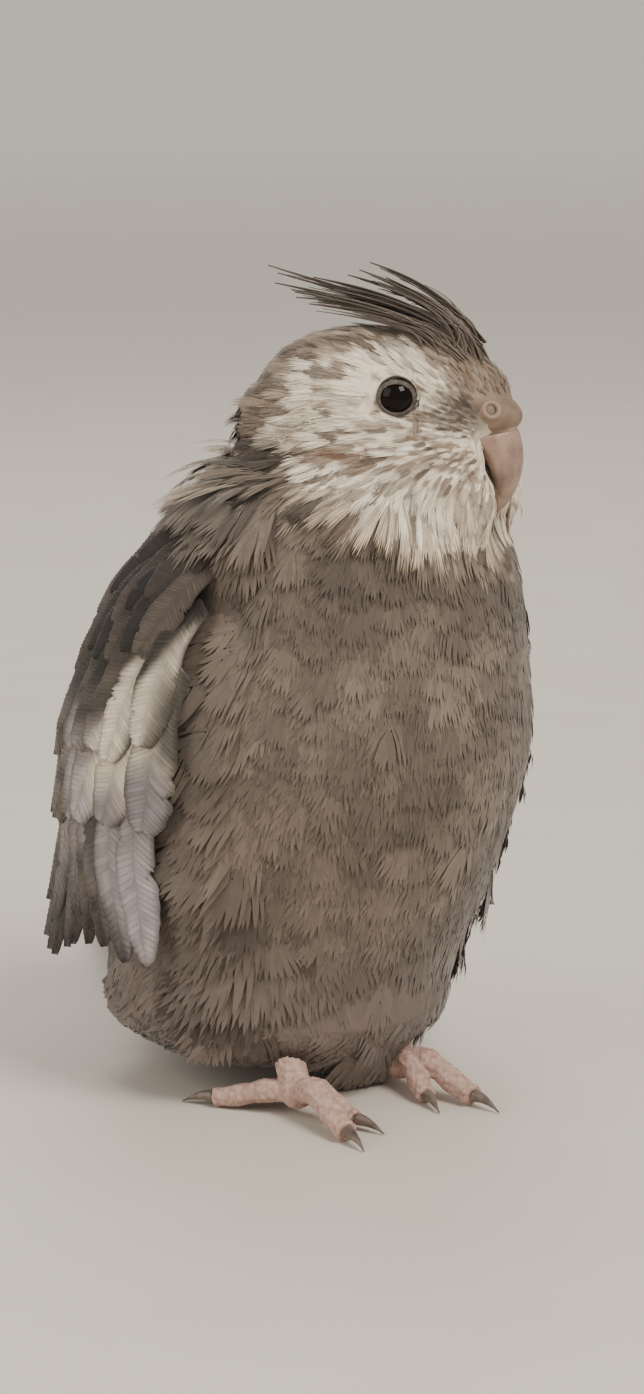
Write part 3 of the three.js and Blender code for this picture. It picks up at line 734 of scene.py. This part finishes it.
def wing_point(side, angle, level, lift):
    """The folded wing's own surface, straighter and further back than the body below a level."""
    below = np.maximum(WING_STRAIGHT_BELOW - level, 0)
    point = body_point(side, angle, level + below, lift)
    rear = smooth(angle, 80, 135)
    shift = np.stack([-side * below * 0.1, below * (0.02 + 0.4 * rear), -below], -1)
    return point + shift


def vane_outline(t, pointed):
    """Share of the full width along a vane, from a blunt one, 0, to a pointed one, 1."""
    fullest = mix(0.72, 0.4, pointed)
    past = np.clip((t - fullest) / (1 - fullest), 0, 1)
    tip = mix(np.sqrt(1 - past ** 2), 1 - past, pointed)
    return np.where(t <= fullest, mix(0.55, 1, smooth(t, 0, fullest)), np.maximum(tip, 0.03))


def grid_quads(index):
    """Quads between the points of a grid."""
    corners = (index[:-1, :-1], index[1:, :-1], index[1:, 1:], index[:-1, 1:])
    return np.stack(corners, -1).reshape(-1, 4)


SWEEP = 0.55  # how far a barb runs forward for each unit it runs out
SHEET_SHADE = 0.92
STRIP_STATIONS = ((0.04, 1.0), (0.4, 1.0), (0.75, 0.9), (1.0, 0.35))  # across the vane, share of width
STRIP_POINTS = 8


def vane_mesh(
    path, facing, width, pointed, seed,
    tilt=0.0, stations=26, columns=9, thickness=0.22, camber=0.1, barbs=0,
):
    """A flight feather with a shaft, nicked edges and barbs lying on its face.

    `path` gives the shaft's place and `facing` the way the face looks at shares of the length.
    Returns points, quads, and for each point its place (along, across) and its shade."""
    draw = np.random.default_rng(seed)
    t = np.linspace(0, 1, stations)
    place = path(t)
    ahead = unit(np.gradient(place, axis=0))
    out = facing(t)
    out = unit(out - ahead * dot(out, ahead))
    across_way = np.cross(ahead, out)
    half = width / 2 * vane_outline(t, pointed)
    nick = 1 - 0.1 * draw.random((stations, 2)) * smooth(t, 0.3, 0.8)[:, None]
    for _ in range(3):
        station, edge_side = draw.integers(stations // 3, stations - 1), draw.integers(0, 2)
        nick[station, edge_side] -= draw.uniform(0.12, 0.3)
    w = np.linspace(-1, 1, columns)
    edge = np.where(w < 0, nick[:, :1], nick[:, 1:]) * w
    offset = edge * half[:, None]
    rise = tilt * edge / 2 - camber * half[:, None] * edge ** 2
    shaft = 0.14 * np.exp(-((w / 0.12) ** 2))[None] * (1 - 0.7 * t)[:, None]
    sheet = place[:, None] + across_way[:, None] * offset[..., None] + out[:, None] * rise[..., None]
    sheet = sheet + ahead[:, None] * (np.abs(w)[None, :, None] * half[:, None, None] * SWEEP)
    top = sheet + out[:, None] * (thickness / 2 + shaft)[..., None]
    bottom = sheet - out[:, None] * (thickness / 2)
    points = np.concatenate([top.reshape(-1, 3), bottom.reshape(-1, 3)])
    top_count = stations * columns
    index = np.arange(top_count).reshape(stations, columns)
    border = np.concatenate([index[0, :-1], index[:-1, -1], index[-1, :0:-1], index[:0:-1, 0]])
    ahead_on = np.roll(border, -1)
    rim = np.stack([border, ahead_on, ahead_on + top_count, border + top_count], -1)
    quads = [grid_quads(index), grid_quads(index.T) + top_count, rim]
    local = np.stack(np.broadcast_arrays(t[:, None], w[None]), -1).reshape(-1, 2)
    local = np.vstack([local, local])
    shade = np.full(len(points), SHEET_SHADE)
    if not barbs:
        return points, np.vstack(quads), local, shade

    at = np.repeat(np.linspace(0.02, 0.965, barbs), 2)
    side = np.tile([-1.0, 1.0], barbs)
    reach = draw.uniform(0.93, 1.03, 2 * barbs)
    lifted = draw.uniform(0.03, 0.12, 2 * barbs)
    tone = draw.uniform(0.84, 1.1, 2 * barbs)
    strips, strip_local = [], []
    for out_share, breadth in STRIP_STATIONS:
        for edge_side in (-1, 1):
            along = np.clip(at + edge_side * breadth * 0.44 / barbs, 0, 1)
            across = side * out_share * reach
            station = along * (stations - 1)
            low = np.minimum(station.astype(int), stations - 2)
            part = (station - low)[:, None]
            at_place, forward, up, sideways = (
                mix(a[low], a[low + 1], part) for a in (place, ahead, out, across_way)
            )
            broad = mix(half[low], half[low + 1], part[:, 0])
            trim = np.where(side < 0, nick[low, 0], nick[low, 1]) * across
            height = tilt * trim / 2 - camber * broad * trim ** 2 + thickness / 2 + lifted
            strips.append(
                at_place
                + sideways * (trim * broad)[:, None]
                + up * height[:, None]
                + forward * (np.abs(across) * broad * SWEEP)[:, None]
            )
            strip_local.append(np.stack([along, across], -1))
    start = len(points)
    strips, strip_local = np.stack(strips, 1), np.stack(strip_local, 1)
    base = start + STRIP_POINTS * np.arange(2 * barbs)[:, None]
    for k in (0, 2, 4):
        quads.append(np.concatenate([base + k, base + k + 1, base + k + 3, base + k + 2], 1))
    points = np.vstack([points, strips.reshape(-1, 3)])
    local = np.vstack([local, strip_local.reshape(-1, 2)])
    return points, np.vstack(quads), local, np.concatenate([shade, np.repeat(tone, STRIP_POINTS)])


BAKE_GRID = 24  # feathers to a side of a bunch's unwrap


def make_bunch(name, node, vanes):
    """One piece of many feathers, each with its own cell of the unwrap."""
    start, faces, uv = 0, [], []
    for order, (points, quads, _, local) in enumerate(vanes):
        faces.append(quads + start)
        start += len(points)
        cell = np.array([order % BAKE_GRID, order // BAKE_GRID])
        inside = 0.1 + 0.8 * np.stack([local[:, 1] / 2 + 0.5, local[:, 0]], 1)
        uv.append((cell + inside) / BAKE_GRID)
    points, tint = (np.vstack([vane[k] for vane in vanes]) for k in (0, 2))
    make_piece(
        name, points, np.vstack(faces), VANE, replaces=(node,),
        tint=np.clip(tint, 0, 1), uv=np.vstack(uv),
    )


# Rows of the wing, lowest first: how many feathers, the first one's root and tip and the last one's,
# each an angle and a level, the lift at root and tip, the width, and how pointed they are.
TIERS = [
    (8, ((96, 66), (94, 26)), ((112, 68), (143, 19)), (-2.2, 0.4), 8.0, 0.62),
    (9, ((84, 72), (72, 28)), ((124, 76), (138, 34)), (-0.8, 0.9), 8.6, 0.35),
    (7, ((80, 84), (78, 51)), ((120, 86), (136, 50)), (0.2, 1.5), 11.0, 0.2),
    (8, ((79, 94), (82, 68)), ((120, 94), (136, 62)), (0.4, 2.0), 9.4, 0.2),
    (11, ((84, 101), (86, 83)), ((136, 101), (148, 76)), (0.6, 2.3), 7.4, 0.3),
    (10, ((88, 106), (94, 92)), ((150, 106), (160, 84)), (0.6, 2.6), 7.4, 0.35),
]
ROOT_DIP = 2.4  # how deep the roots lie under the row above


def wing_tint(angle, level, local, draw):
    """Colour along a wing feather from its place on the wing, an angle and a level at each point, with
    painted shade between feathers and along the flank.
    """
    t, w = local[:, 0:1], local[:, 1:2]
    angle = angle[:, None] + 7 * (draw[0] - 0.5)
    level = level[:, None] + 8 * (draw[1] - 0.5)
    bars = np.sin(level * 0.55 + draw[2] * 6) + 0.5 * np.abs(w)
    made = mix(GREY * 0.95, DARK_GREY, smooth(bars, 0.3, 1.2))
    pale = (draw[3] > 0.55) * (1 - np.abs(w)) * (1 - smooth(level, 60, 75))
    made = mix(made, LAVENDER, 0.6 * pale)
    made = mix(made, CHARCOAL, 0.75 * (1 - smooth(level, 28, 50)))
    rear_bound = 80 + (level - 30) * 0.95
    lavender = 1 - smooth(angle - rear_bound, -4, 4)
    lavender = lavender * (1 - smooth(level, 62, 72)) * smooth(level, 20, 30)
    made = mix(made, LAVENDER * mix(0.55, 1.1, draw[3]), lavender)
    made = mix(made, CHARCOAL, 0.8 * lavender * (draw[2] > 0.84))
    # Painted shade: dark edges on most of these feathers, for the shadowed slits between them.
    edge = smooth(np.abs(w), 0.62, 0.95) * (draw[4] > 0.4)
    made = mix(made, DARK_GREY, 0.6 * edge * lavender)
    upper_bound = 91 - 33 * (angle - 80) / 28
    white = smooth(upper_bound - level, -3, 3) * smooth(level, 60, 68) * (1 - smooth(angle, 100, 108))
    made = mix(made, WHITE * mix(0.8, 1.04, draw[3]), white)
    made = mix(made, CHARCOAL, 0.8 * white * (draw[2] < 0.12))
    dark = smooth(level - upper_bound, 0, 5) * smooth(level, 70, 80)
    scapular = mix(DARK_GREY * 0.8, GREY * 0.75, smooth(draw[2] + 0.4 * t, 0.5, 0.9))
    scapular = mix(scapular, CHARCOAL, 0.9 * (draw[3] < 0.6))
    made = mix(made, scapular, dark)
    # Painted shade: every feather darker along its edges, between neighbours, and at its base, under
    # the row above.
    made = mix(made, DARK_GREY, 0.5 * smooth(np.abs(w), 0.8, 1.0) + 0.3 * (1 - smooth(t, 0.3, 0.6)))
    # Painted shadow: charcoal along the wing's front edge, where it meets the flank.
    front = (1 - smooth(angle, 77, 82)) * smooth(level, 62, 68) * (1 - smooth(level, 84, 90))
    made = mix(made, CHARCOAL, 0.8 * front)
    shaft = np.exp(-((w / 0.09) ** 2))
    grain = np.sin(46 * t + 11 * np.abs(w) + 6 * draw[0]) * np.sin(17 * t - 5 * w)
    return mix(made, CHARCOAL, 0.25 * shaft) * mix(0.9, 1.08, draw[5]) * (1 + 0.12 * grain)


for name, side in SIDES.items():
    vanes = []
    for order, (count, first, last, (low, high), width, pointed) in enumerate(TIERS):
        for i in range(count):
            draw = RNG.random(6)
            root, tip = mix(np.array(first, float), np.array(last, float), i / (count - 1))
            root = root + (draw[:2] - 0.5) * (3, 4)
            tip = tip + (draw[2:4] - 0.5) * (8, 7)

            def path(t):
                angle, level = mix(root[0], tip[0], t), mix(root[1], tip[1], t)
                bow = 4 * np.sin(math.pi * t) * (draw[4] - 0.5)
                lift = mix(low, high, t) + 0.3 * draw[4] - ROOT_DIP * (1 - smooth(t, 0, 0.3))
                return wing_point(side, angle + bow, level, lift)

            def facing(t):
                angle, level = mix(root[0], tip[0], t), mix(root[1], tip[1], t)
                return wing_point(side, angle, level, 1) - wing_point(side, angle, level, 0)

            points, faces, local, shade = vane_mesh(
                path, facing, width * mix(0.9, 1.1, draw[5]), pointed,
                seed=1000 * order + 10 * i + (side > 0), tilt=-side * 1.1, barbs=34,
            )
            t, w = local.T
            angle, level = mix(root[0], tip[0], t) + 0.7 * w * width, mix(root[1], tip[1], t)
            tint = wing_tint(angle, level, local, RNG.random(6)) * shade[:, None]
            vanes.append((points, faces, tint, local))
    make_bunch(f"{name}_wing_feathers", f"{name}_wing", vanes)

# Tail.

# How much shorter each pair of tail feathers is than the middle one, and how far out it ends.
TAIL_PAIRS = ((0, 1.5), (14, 3.0), (32, 4.4), (48, 5.6), (60, 6.6), (70, 7.4))
TAIL_FLOOR = 0.15


def tail_point(length, sideways, lift):
    """A place along the tail, which comes down to the floor behind the bird."""
    share = np.clip(length / TAIL_LENGTH, 0, 1)
    level = mix(0.6, TAIL_ROOT[2], (1 - share) ** 1.2)
    return np.stack([
        TAIL_ROOT[0] + length * math.sin(TAIL_SWING) + sideways * math.cos(TAIL_SWING),
        TAIL_ROOT[1] + length * math.cos(TAIL_SWING) - sideways * math.sin(TAIL_SWING),
        level + lift,
    ], -1)


vanes = []
for pair, (shorter, spread) in enumerate(TAIL_PAIRS):
    for side in (1, -1):
        draw = RNG.random(3)

        def path(t):
            out = side * spread * mix(0.35, 1, t)
            return tail_point(t * (TAIL_LENGTH - shorter), out, -pair * 0.8 * mix(0.7, 1, t))

        def facing(t):
            return np.zeros((len(t), 3)) + (side * 0.16, 0.1, 1)

        points, faces, local, shade = vane_mesh(
            path, facing, 9.5 - pair * 0.4, 0.8 if pair < 2 else 0.5,
            seed=7000 + 10 * pair + side, stations=44, columns=9, thickness=0.25, barbs=90,
        )
        t = local[:, 0:1]
        tint = mix(GREY * 0.85, DARK_GREY, smooth(t, 0.2, 0.95))
        if pair > 1:
            bars = smooth(np.sin(t * 60 + draw[0] * 6), 0.2, 0.9) * smooth(t, 0.2, 0.4)
            tint = mix(tint, LAVENDER, 0.5 * bars)
        tint = mix(tint, CHARCOAL, 0.5 * np.exp(-((local[:, 1:2] / 0.09) ** 2)))
        points[:, 2] = np.maximum(points[:, 2], TAIL_FLOOR)
        vanes.append((points, faces, tint * shade[:, None], local))
make_bunch("tail_feathers", "tail", vanes)

# Crest.

# Root, middle and tip of each long feather, forward and up in the head, how far aside it starts
# and ends, and its width.
CREST = [
    ((18, 17.6), (7.5, 25.4), (-4.4, 29), (0.3, 0.8), 1.9),
    ((17.8, 17.2), (8, 23.8), (-0.5, 26.6), (-0.8, -1.4), 1.9),
    ((17.4, 17.2), (7, 24), (-3, 27), (-1.4, -2.4), 2.0),
    ((16.8, 17.6), (5.5, 24.2), (-6.5, 27.2), (0.8, 1.6), 2.0),
    ((16.4, 17.6), (4, 23.6), (-9, 26.2), (1.5, 2.8), 2.1),
    ((15.8, 17.8), (1, 23.6), (-14, 25.4), (-0.8, -1.0), 2.1),
    ((15.2, 17.8), (-1, 22.8), (-22.8, 26.6), (0, -0.4), 2.2),
    ((14.8, 17.6), (-1.2, 22.4), (-21.4, 25.2), (0.8, 0.9), 2.1),
    ((14.4, 17.4), (-1.5, 22), (-20.5, 24.2), (-1.8, -2.6), 2.1),
    ((14.2, 17.8), (-2, 21.8), (-19, 22.8), (1.8, 2.2), 2.1),
    ((13.4, 17.8), (-2.2, 21.4), (-18.2, 22.2), (0.8, 1.4), 2.0),
    ((12.8, 17.8), (-2.5, 21.4), (-17.5, 21.8), (-0.4, 0.4), 2.0),
    ((12.4, 17.2), (0, 20.8), (-13.5, 21), (-2.4, -3.8), 1.9),
    ((12.4, 17.2), (0, 20.8), (-12.5, 20.8), (2.4, 3.8), 1.9),
]
CREST_BED = ((8.2, 0.0, 5.4), (16.2, 8.2, 12.3))  # middle and reach of the crown that strands grow from
STRANDS = 300


def bend(ends, t):
    """Along the curve with two ends and a pole between them."""
    return (1 - t) ** 2 * ends[0] + 2 * t * (1 - t) * ends[1] + t ** 2 * ends[2]


def crest_facing(t):
    return np.zeros((len(t), 3)) + HEAD_AXES @ (0, 0.75, 1)


vanes = []
for i, (root, middle, tip, (root_side, tip_side), width) in enumerate(CREST):
    draw = RNG.random(3)
    pole = 2 * np.array(middle) - (np.array(root) + tip) / 2
    ends = from_head([
        (root[0], root_side, root[1]),
        (pole[0], (root_side + tip_side) / 2, pole[1]),
        (tip[0], tip_side, tip[1]),
    ])

    def path(t):
        return bend(ends, t[:, None]) + UP * (0.8 * draw[0] * t[:, None] ** 6)

    points, faces, local, _ = vane_mesh(
        path, crest_facing, width, 0.95,
        seed=9000 + i, stations=22, columns=5, thickness=0.2, camber=0.3,
    )
    tint = mix(GREY, DARK_GREY, mix(0.3, 0.8, draw[1]) * smooth(local[:, 0:1], 0.15, 0.8))
    vanes.append((points, faces, tint, local))
for i in range(STRANDS):
    root, middle, tip, (root_side, tip_side), _ = CREST[RNG.integers(len(CREST))]
    draw = RNG.random(6)
    reached = mix(0.25, 0.95, draw[0] ** 1.3)
    back = 0.6 * draw[1]
    forward = mix(root[0] - 6, 23.2, back)
    aside = 1.7 * root_side + 2.4 * (draw[2] - 0.5)
    bed_middle, bed_reach = CREST_BED
    left = 1 - ((forward - bed_middle[0]) / bed_reach[0]) ** 2 - (aside / bed_reach[1]) ** 2
    level = bed_middle[2] + bed_reach[2] * math.sqrt(max(left, 0.02))
    pole = 2 * np.array(middle) - (np.array(root) + tip) / 2
    rise = bend((np.array(root), pole, np.array(tip)), reached)
    side = mix(aside, tip_side, 0.6) + 2 * (draw[3] - 0.5)
    ends = from_head([
        (forward, aside, level),
        (
            mix(root[0], rise[0], 0.22),
            mix(aside, side, 0.4),
            mix(root[1], rise[1], 0.5) + 1.6 * (1 - back),
        ),
        (rise[0], side, rise[1] - 1.2 * draw[4]),
    ])

    def path(t):
        return bend(ends, t[:, None])

    points, faces, local, _ = vane_mesh(
        path, crest_facing, mix(0.35, 0.75, draw[5]), 0.9,
        seed=9500 + i, stations=14, columns=3, thickness=0.1, camber=0.3,
    )
    tint = mix(GREY, PALE_GREY, draw[3]) * mix(0.9, 1.15, draw[2])
    tint = mix(tint, DARK_GREY, 0.55 * reached * smooth(local[:, 0:1], 0.55, 1.0))
    vanes.append((points, faces, tint, local))
make_bunch("crest_feathers", "crest", vanes)

# Eyes, bill, feet and claws.


def eye_material():
    """A dark, wet eye, faintly brown."""
    material, tree, shader = new_material("eye")
    set_inputs(tree, shader, {
        "Base Color": ramp(tree, noise(tree, 900, 4), colour(6, 4, 4), colour(22, 13, 10)),
        "Roughness": 0.07,
        "IOR": 1.24,
    })
    return material


CERE = feather_material("cere", 0.5, 0.0, 0.06)
HORN = bare_material("horn", colour(160, 133, 117), colour(120, 97, 88), 260, 0.38, bump=0.15)
CLAW = bare_material("claw", colour(120, 106, 96), colour(78, 68, 62), 500, 0.35, bump=0.15)
FOOT = bare_material("foot", colour(196, 166, 152), colour(164, 130, 118), 900, 0.6, subsurface=0.08)
LIDS = bare_material("lid", colour(98, 88, 81), colour(60, 53, 49), 1600, 0.6)
EYES = eye_material()

for name, sign in SIDES.items():
    points, _, faces = remeshed([node_mesh(f"{name}_eye")], 0.22, 4)
    middle = EYE_MIDDLES[name]
    points = middle + unit(points - middle) * EYE_RADIUS
    make_piece(f"{name}_eyeball", points, faces, EYES, replaces=(f"{name}_eye",))


def refined(node, voxel, smoothing, material, name):
    """A piece that is its node's own form, evenly and finely meshed."""
    points, _, faces = remeshed([node_mesh(node)], voxel, smoothing)
    make_piece(name, points, faces, material, replaces=(node,))


CERE_MIDDLE = np.array([16.0, 0.0, 5.4])
CERE_REACH = np.array([9.5, 6.4, 4.6])
NOSTRIL_SIDE = 4.8
NOSTRIL_LEVEL = 6.9
RIM_FORWARD, RIM_LEVEL, RIM_SLOPE = 25.3, 3.4, math.radians(17)  # the edge over the bill


def cere_piece():
    """The soft cere over the bill, with a raised ring round each nostril, painted shade in each
    nostril's hollow, and a pale lower rim.
    """
    points, normals, faces = remeshed([ellipsoid(CERE_MIDDLE, CERE_REACH)], 0.2, 1)
    tint = np.zeros_like(points) + colour(132, 112, 96)
    tint = mix(tint, colour(104, 88, 75), 0.6 * waves(points, 3, 12)[:, None])
    for sign in SIDES.values():
        rise = (NOSTRIL_LEVEL - CERE_MIDDLE[2]) / CERE_REACH[2]
        left = 1 - (NOSTRIL_SIDE / CERE_REACH[1]) ** 2 - rise ** 2
        front = CERE_MIDDLE[0] + CERE_REACH[0] * math.sqrt(left)
        hole = from_head([front, NOSTRIL_SIDE * sign, NOSTRIL_LEVEL])
        away = np.linalg.norm(points - hole, axis=1)[:, None]
        ring = np.exp(-(((away - 1.35) / 0.4) ** 2))
        inside = 1 - smooth(away, 0.5, 1.0)
        points = points + normals * (0.5 * ring - 1.3 * inside)
        tint = mix(tint, colour(164, 137, 121), 0.8 * ring)
        # Painted shade: the nostril's hollow near black.
        tint = mix(tint, colour(46, 30, 29), smooth(inside, 0.1, 0.7))
    head = in_head(points)
    rim_normal = np.array([-math.sin(RIM_SLOPE), 0, math.cos(RIM_SLOPE)])
    above = (head - (RIM_FORWARD, 0, RIM_LEVEL)) @ rim_normal
    rim = np.exp(-(((above - 0.1) / 0.35) ** 2))[:, None]
    tint = mix(tint, colour(232, 212, 196), rim)
    head = head - np.minimum(above, 0)[:, None] * rim_normal
    points = from_head(head) + normals * 0.15 * rim
    make_piece("cere_skin", points, faces, CERE, replaces=("cere",), tint=tint)


cere_piece()
refined("upper_bill", 0.25, 6, HORN, "upper_bill_horn")
refined("lower_bill", 0.4, 4, HORN, "lower_bill_horn")


SCALE_SPACING = 1.05


def scaled_foot(side):
    """The foot with its scales raised between fine grooves."""
    points, normals, faces = remeshed([node_mesh(f"{side}_leg")], 0.32, 4)
    shuffled = points[RNG.permutation(len(points))]
    kept = thinned(shuffled, np.full(len(points), SCALE_SPACING), SCALE_SPACING)
    tree = KDTree(len(kept))
    for i, centre in enumerate(shuffled[kept]):
        tree.insert(centre, i)
    tree.balance()
    ratio = np.zeros(len(points))
    for i, point in enumerate(points):
        (_, _, nearest), (_, _, second) = tree.find_n(point, 2)
        ratio[i] = nearest / max(second, 1e-6)
    rise = 0.22 * (1 - smooth(ratio, 0.55, 1.0)) - 0.14
    rise[points[:, 2] < 0.5] = 0
    points = points + normals * rise[:, None]
    points[:, 2] = np.maximum(points[:, 2], 0)
    make_piece(f"{side}_foot", points, faces, FOOT, replaces=(f"{side}_leg",))


for side in SIDES:
    scaled_foot(side)
    for toe in ("inner_front", "outer_front", "outer_back", "inner_back"):
        refined(f"{side}_{toe}_claw", 0.14, 5, CLAW, f"{side}_{toe}_nail")


LID_BEARING = math.radians(72)  # the way the eye looks, from straight ahead
LID_OPENING = (2.68, 2.4)
LID_BEADS = 30


def lid_ring(side, sign):
    """Lids lying close over the eyeball, narrower in height than in length, with a beaded edge."""
    aim = np.array([math.cos(LID_BEARING), sign * math.sin(LID_BEARING), 0])
    along = unit(np.cross(UP, aim))
    columns, rows = 72, 14
    around = np.linspace(0, 2 * math.pi, columns, endpoint=False)[:, None]
    tube = np.linspace(0, 2 * math.pi, rows, endpoint=False)[None]
    ball = EYE_RADIUS + 0.12
    middle = np.hypot(LID_OPENING[0] * np.cos(around), LID_OPENING[1] * np.sin(around)) + 0.4
    height = np.sqrt(ball ** 2 - np.minimum(middle, ball - 0.05) ** 2)
    wide = 0.5 * np.cos(tube)
    thick = (0.24 + 0.04 * np.cos(around * LID_BEADS)) * np.sin(tube)
    radius = middle + (wide * height + thick * middle) / ball
    out = height + (thick * height - wide * middle) / ball
    points = (
        EYE * (1, sign, 1)
        + along * (radius * np.cos(around))[..., None]
        + UP * (radius * np.sin(around))[..., None]
        + aim * out[..., None]
    )
    index = np.arange(columns * rows).reshape(columns, rows)
    ahead, over = np.roll(index, -1, 0), np.roll(index, -1, 1)
    both = np.roll(ahead, -1, 1)
    faces = np.stack([index, ahead, both, over], -1).reshape(-1, 4)
    if sign < 0:
        faces = faces[:, ::-1]
    make_piece(f"{side}_lids", from_head(points.reshape(-1, 3)), faces, LIDS)


for side, sign in SIDES.items():
    lid_ring(side, sign)

# Floor, light and camera.

SENSOR = 36
CAMERA_BEARING, CAMERA_RISE = -36, 11
CAMERA_AWAY = 750
VIEW_HEIGHT = 253.45
AIM_ASIDE = 3.45
AIM_LEVEL = 71.87
ROOM_TONE = (0.86, 0.82, 0.76, 1)
LIGHTS_AIM = Vector((0, 0, 0.08))
FLOOR_REACH = 30.0


def outward(bearing, rise):
    """The way out at a bearing from the bird's front and a rise, in degrees."""
    a, e = math.radians(bearing), math.radians(rise)
    return np.array([math.sin(a) * math.cos(e), -math.cos(a) * math.cos(e), math.sin(e)])


right, back = outward(CAMERA_BEARING + 90, 0), outward(CAMERA_BEARING, CAMERA_RISE)
aim = ORIGIN + right * AIM_ASIDE + UP * AIM_LEVEL
camera_data = bpy.data.cameras.new("camera")
camera_data.sensor_width = SENSOR
camera_data.lens = SENSOR * CAMERA_AWAY / VIEW_HEIGHT
camera = new_object("camera", camera_data)
camera.location = (aim + back * CAMERA_AWAY) * MM
camera.rotation_mode = "QUATERNION"
camera.rotation_quaternion = Vector(-back).to_track_quat("-Z", "Y")
bpy.context.scene.camera = camera


def add_light(name, bearing, rise, away, size, power, tone):
    """A square soft light that looks at the bird."""
    data = bpy.data.lights.new(name, "AREA")
    data.size = size
    data.energy = power
    data.color = tone
    light = new_object(name, data)
    way = Vector(outward(bearing, rise))
    light.location = way * away + LIGHTS_AIM
    light.rotation_mode = "QUATERNION"
    light.rotation_quaternion = way.to_track_quat("Z", "Y")


add_light("key", 0, 45, 0.9, 0.35, 6.5, (1.0, 0.95, 0.88))
add_light("fill", -95, 25, 1.0, 0.7, 3.5, (1.0, 0.96, 0.92))
add_light("rim", 150, 50, 1.0, 0.6, 4.0, (1.0, 0.97, 0.94))

world = bpy.data.worlds.new("studio")
world.use_nodes = True
background = world.node_tree.nodes["Background"]
background.inputs["Color"].default_value = ROOM_TONE
background.inputs["Strength"].default_value = 0.7
bpy.context.scene.world = world

# Far off, the floor glows as brightly as the room, so that no horizon shows.
material, tree, shader = new_material("floor")
place = add_node(tree, "TexCoord", {}, "Object")
away = add_node(tree, "VectorMath", {0: place}, "Value", operation="LENGTH")
glow = {"Value": away, "From Min": 0.3, "From Max": 3.0, "To Max": 0.26}
set_inputs(tree, shader, {
    "Base Color": ramp(tree, noise(tree, 30, 3), colour(208, 200, 188), colour(216, 209, 198)),
    "Roughness": 0.7,
    "Emission Strength": add_node(tree, "MapRange", glow, "Result"),
    "Emission Color": ROOM_TONE,
})
floor_mesh = bpy.data.meshes.new("floor")
floor_corners = [(x * FLOOR_REACH, y * FLOOR_REACH, 0) for x, y in ((-1, -1), (1, -1), (1, 1), (-1, 1))]
floor_mesh.from_pydata(floor_corners, [], [(0, 1, 2, 3)])
floor_mesh.materials.append(material)
floor = new_object("floor", floor_mesh)
